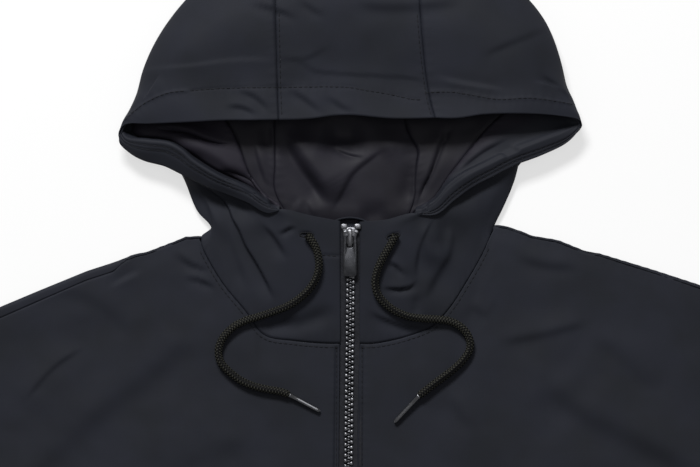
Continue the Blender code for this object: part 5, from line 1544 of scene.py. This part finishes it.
def build_zip(tape_finish, metal_finish, tab_finish, shell_finish):
    """The tapes, teeth, lower box, guard strip behind the upper end, slider and
    pull tab."""
    hem = HEM_Y + HEM_BACK
    for side, low, high in (("left", -TAPE_OUT, -TEETH_OUT + 0.6), ("right", TEETH_OUT - 0.6, TAPE_OUT)):
        cloth("zip_tape_cloth_" + side, ribbon(low, high, hem, ZIP_TOP_Y, SKIN + LAYER_GAP), tape_finish,
              "zip_tape_" + side, wall=0.6)
    build_teeth(metal_finish)
    y = hem + ZIP_BOX_LENGTH * np.array([0.0, 0.02, 0.08, 0.5, 0.92, 0.98, 1.0])
    half = TEETH_OUT * np.array([0.7, 0.92, 1.0, 1.0, 1.0, 0.92, 0.7])
    deep = 1.5 * np.array([0.5, 0.85, 1.0, 1.0, 1.0, 0.85, 0.5])
    box = lofted(round_profile(1.0, 1.0, 4.0, 16), half, deep, zip_x(y), y,
                 zip_height(y) + 2 * TEETH_RISE - 1.5)
    solid_tube("zip_end_box", box, metal_finish, ("zip_box",))
    guard_drop = SKIN + LAYER_GAP + 0.6 + LAYER_GAP
    guard = ribbon(-GUARD_OUT, GUARD_OUT, GUARD_LOW_Y, GUARD_TOP_Y, guard_drop, across=44, fine_end=12.0)
    hollow = (ease(guard[..., 1], GUARD_TOP_Y - 8.0, GUARD_TOP_Y - 5.0)
              * (1 - ease(guard[..., 1], GUARD_TOP_Y - 1.9, GUARD_TOP_Y - 1.0)))
    guard[..., 2] -= 4.2 * hollow * (1 - ease(np.abs(guard[..., 0]), 7.5, 10.0))
    guard[..., 1] -= 2.6 * (guard[..., 0] / GUARD_OUT) ** 2 * ease(guard[..., 1], GUARD_TOP_Y - 12, GUARD_TOP_Y)
    cloth("zip_guard_strip", guard, shell_finish, "zip_guard", wall=0.8)
    build_slider(metal_finish)
    build_tab(tab_finish)


# ---------------------------------------------------------------- stitching

def stitches(name, lines, finish, pitch=3.2, gap=0.8, thick=0.27):
    """Lockstitches along lines given as (points, normals): each a rounded
    thread that rises from the cloth and goes back in, its height
    0.04 + 0.16 * 4t(1 - t)."""
    starts, ends, ups = [], [], []
    for places, up in lines:
        run = reached(places)
        begin = np.arange(0.6, run[-1] - pitch, pitch)
        starts.append(at_places(begin, run, places))
        ends.append(at_places(begin + pitch - gap, run, places))
        ups.append(at_places(begin, run, up))
    a, b, up = np.concatenate(starts), np.concatenate(ends), np.concatenate(ups)
    t = np.array([0.0, 0.12, 0.5, 0.88, 1.0])
    core = a[:, None] + (b - a)[:, None] * t[None, :, None]
    core = core + up[:, None] * (0.04 + 0.16 * 4 * t * (1 - t))[None, :, None]
    side = unit(np.cross(unit(b - a), up))
    ring = full_turn(5)
    radius = thick * np.array([0.5, 0.9, 1.0, 0.9, 0.5])
    round_it = (np.cos(ring)[:, None] * side[:, None, :] + np.sin(ring)[:, None] * up[:, None, :])
    grid = core[:, :, None, :] + radius[None, :, None, None] * round_it[:, None, :, :]
    solid_tube(name, grid, finish)


def eyelet(name, middle, slant, on, finish):
    """A bar-tacked buttonhole: a tube along a stadium, its thickness swelling
    with each turn of thread, laid on the cloth."""
    turn = full_turn(150)
    x, y = superellipse(turn, EYELET_LONG / 2, EYELET_WIDE / 2, 2 / 0.75).T
    c, s = math.cos(slant), math.sin(slant)
    line = np.stack([middle[0] + c * x - s * y, middle[1] + s * x + c * y], axis=1)
    places, up = laid_on(on, line)
    around = full_turn(8)
    side = np.cross(unit(np.roll(places, -1, axis=0) - np.roll(places, 1, axis=0)), up)
    radius = 0.45 + 0.1 * np.cos(turn * 34)
    grid = (places + up * 0.05)[:, None] + radius[:, None, None] * (
        1.25 * np.cos(around)[None, :, None] * side[:, None] + 0.8 * np.sin(around)[None, :, None] * up[:, None])
    closed_ring(name, grid, finish)


# ---------------------------------------------------------------- the jacket

def surface_line(objects, points, shift=0.0):
    """A smooth line in (x, y), moved to its left by a shift, laid on the cloth."""
    line = even_points(smooth_line(points), max(8, int(length_of(np.array(points, float)) / 1.6)))
    way = unit(np.gradient(line, axis=0))
    return laid_on(objects, line + shift * np.stack([-way[:, 1], way[:, 0]], axis=1))


def main():
    set_stage()
    shell_finish, lining_finish, tape_finish = shell_cloth(), lining_cloth(), tape_cloth()
    thread = sewing_thread()
    metal = zip_metal("gunmetal plated brass", "#66676b", "#8a8b8f")
    dull_metal = zip_metal("gunmetal plated sheet brass", "#434448", "#515256")
    braid, tip_finish = cord_braid(), tip_metal()
    build_cord("left", CORD_LEFT, TIP_LEFT_END, braid, tip_finish)
    build_cord("right", CORD_RIGHT, TIP_RIGHT_END, braid, tip_finish)

    left, right, centre, facings = build_hood(shell_finish, facing_cloth(), lining_finish)
    neck = fine_row(NECK_POINT) + 1
    front_l = build_front("left", left[:neck, -1], SHOULDER_LEFT, -1, shell_finish)
    front_r = build_front("right", right[:neck, -1], SHOULDER_RIGHT, 1, shell_finish)
    build_back(left, right, centre, shell_finish)
    build_sleeve("left", SHOULDER_LEFT, -1, shell_finish)
    build_sleeve("right", SHOULDER_RIGHT, 1, shell_finish)
    build_zip(tape_finish, metal, dull_metal, shell_finish)

    hood = [bpy.data.objects[n] for n in ("shell_hood_side_left", "shell_hood_side_right", "shell_hood_centre")]
    lines = [surface_line(hood, row[3]) for row in HOOD_ROWS]
    up_to = HOOD_DOWN[0] + HOOD_DOWN[1] - 3
    lines += [surface_line(hood, row[2:up_to, :2], shift) for row, shift in ((centre[0], -2.0), (centre[-1], 2.0))]
    stitches("hood_stitching", lines, thread)
    front_lines = []
    for side, sign, obj, neck_line in (("left", -1, front_l, left[:neck, -1]), ("right", 1, front_r, right[:neck, -1])):
        front_lines.append(surface_line([obj], PLACKET_ROWS[side][0][3]))
        front_lines.append(surface_line([obj], neck_line[1:-2, :2], -sign * 2.2))
    stitches("body_stitching", front_lines, thread)
    rows = []
    for side, (grid, up) in facings.items():
        for column in LIP_ROWS[side]:
            last = fine_row(10) - fine_row(FIRST_LIP)
            rows.append((grid[4:last, column] + up[4:last, column] * SKIN, up[4:last, column]))
    stitches("lip_stitching", rows, thread)
    eyelet("eyelet_left", (-26.8, 257.4), -0.04, hood, thread)
    eyelet("eyelet_right", (26.7, 256.6), 0.28, hood, thread)


main()
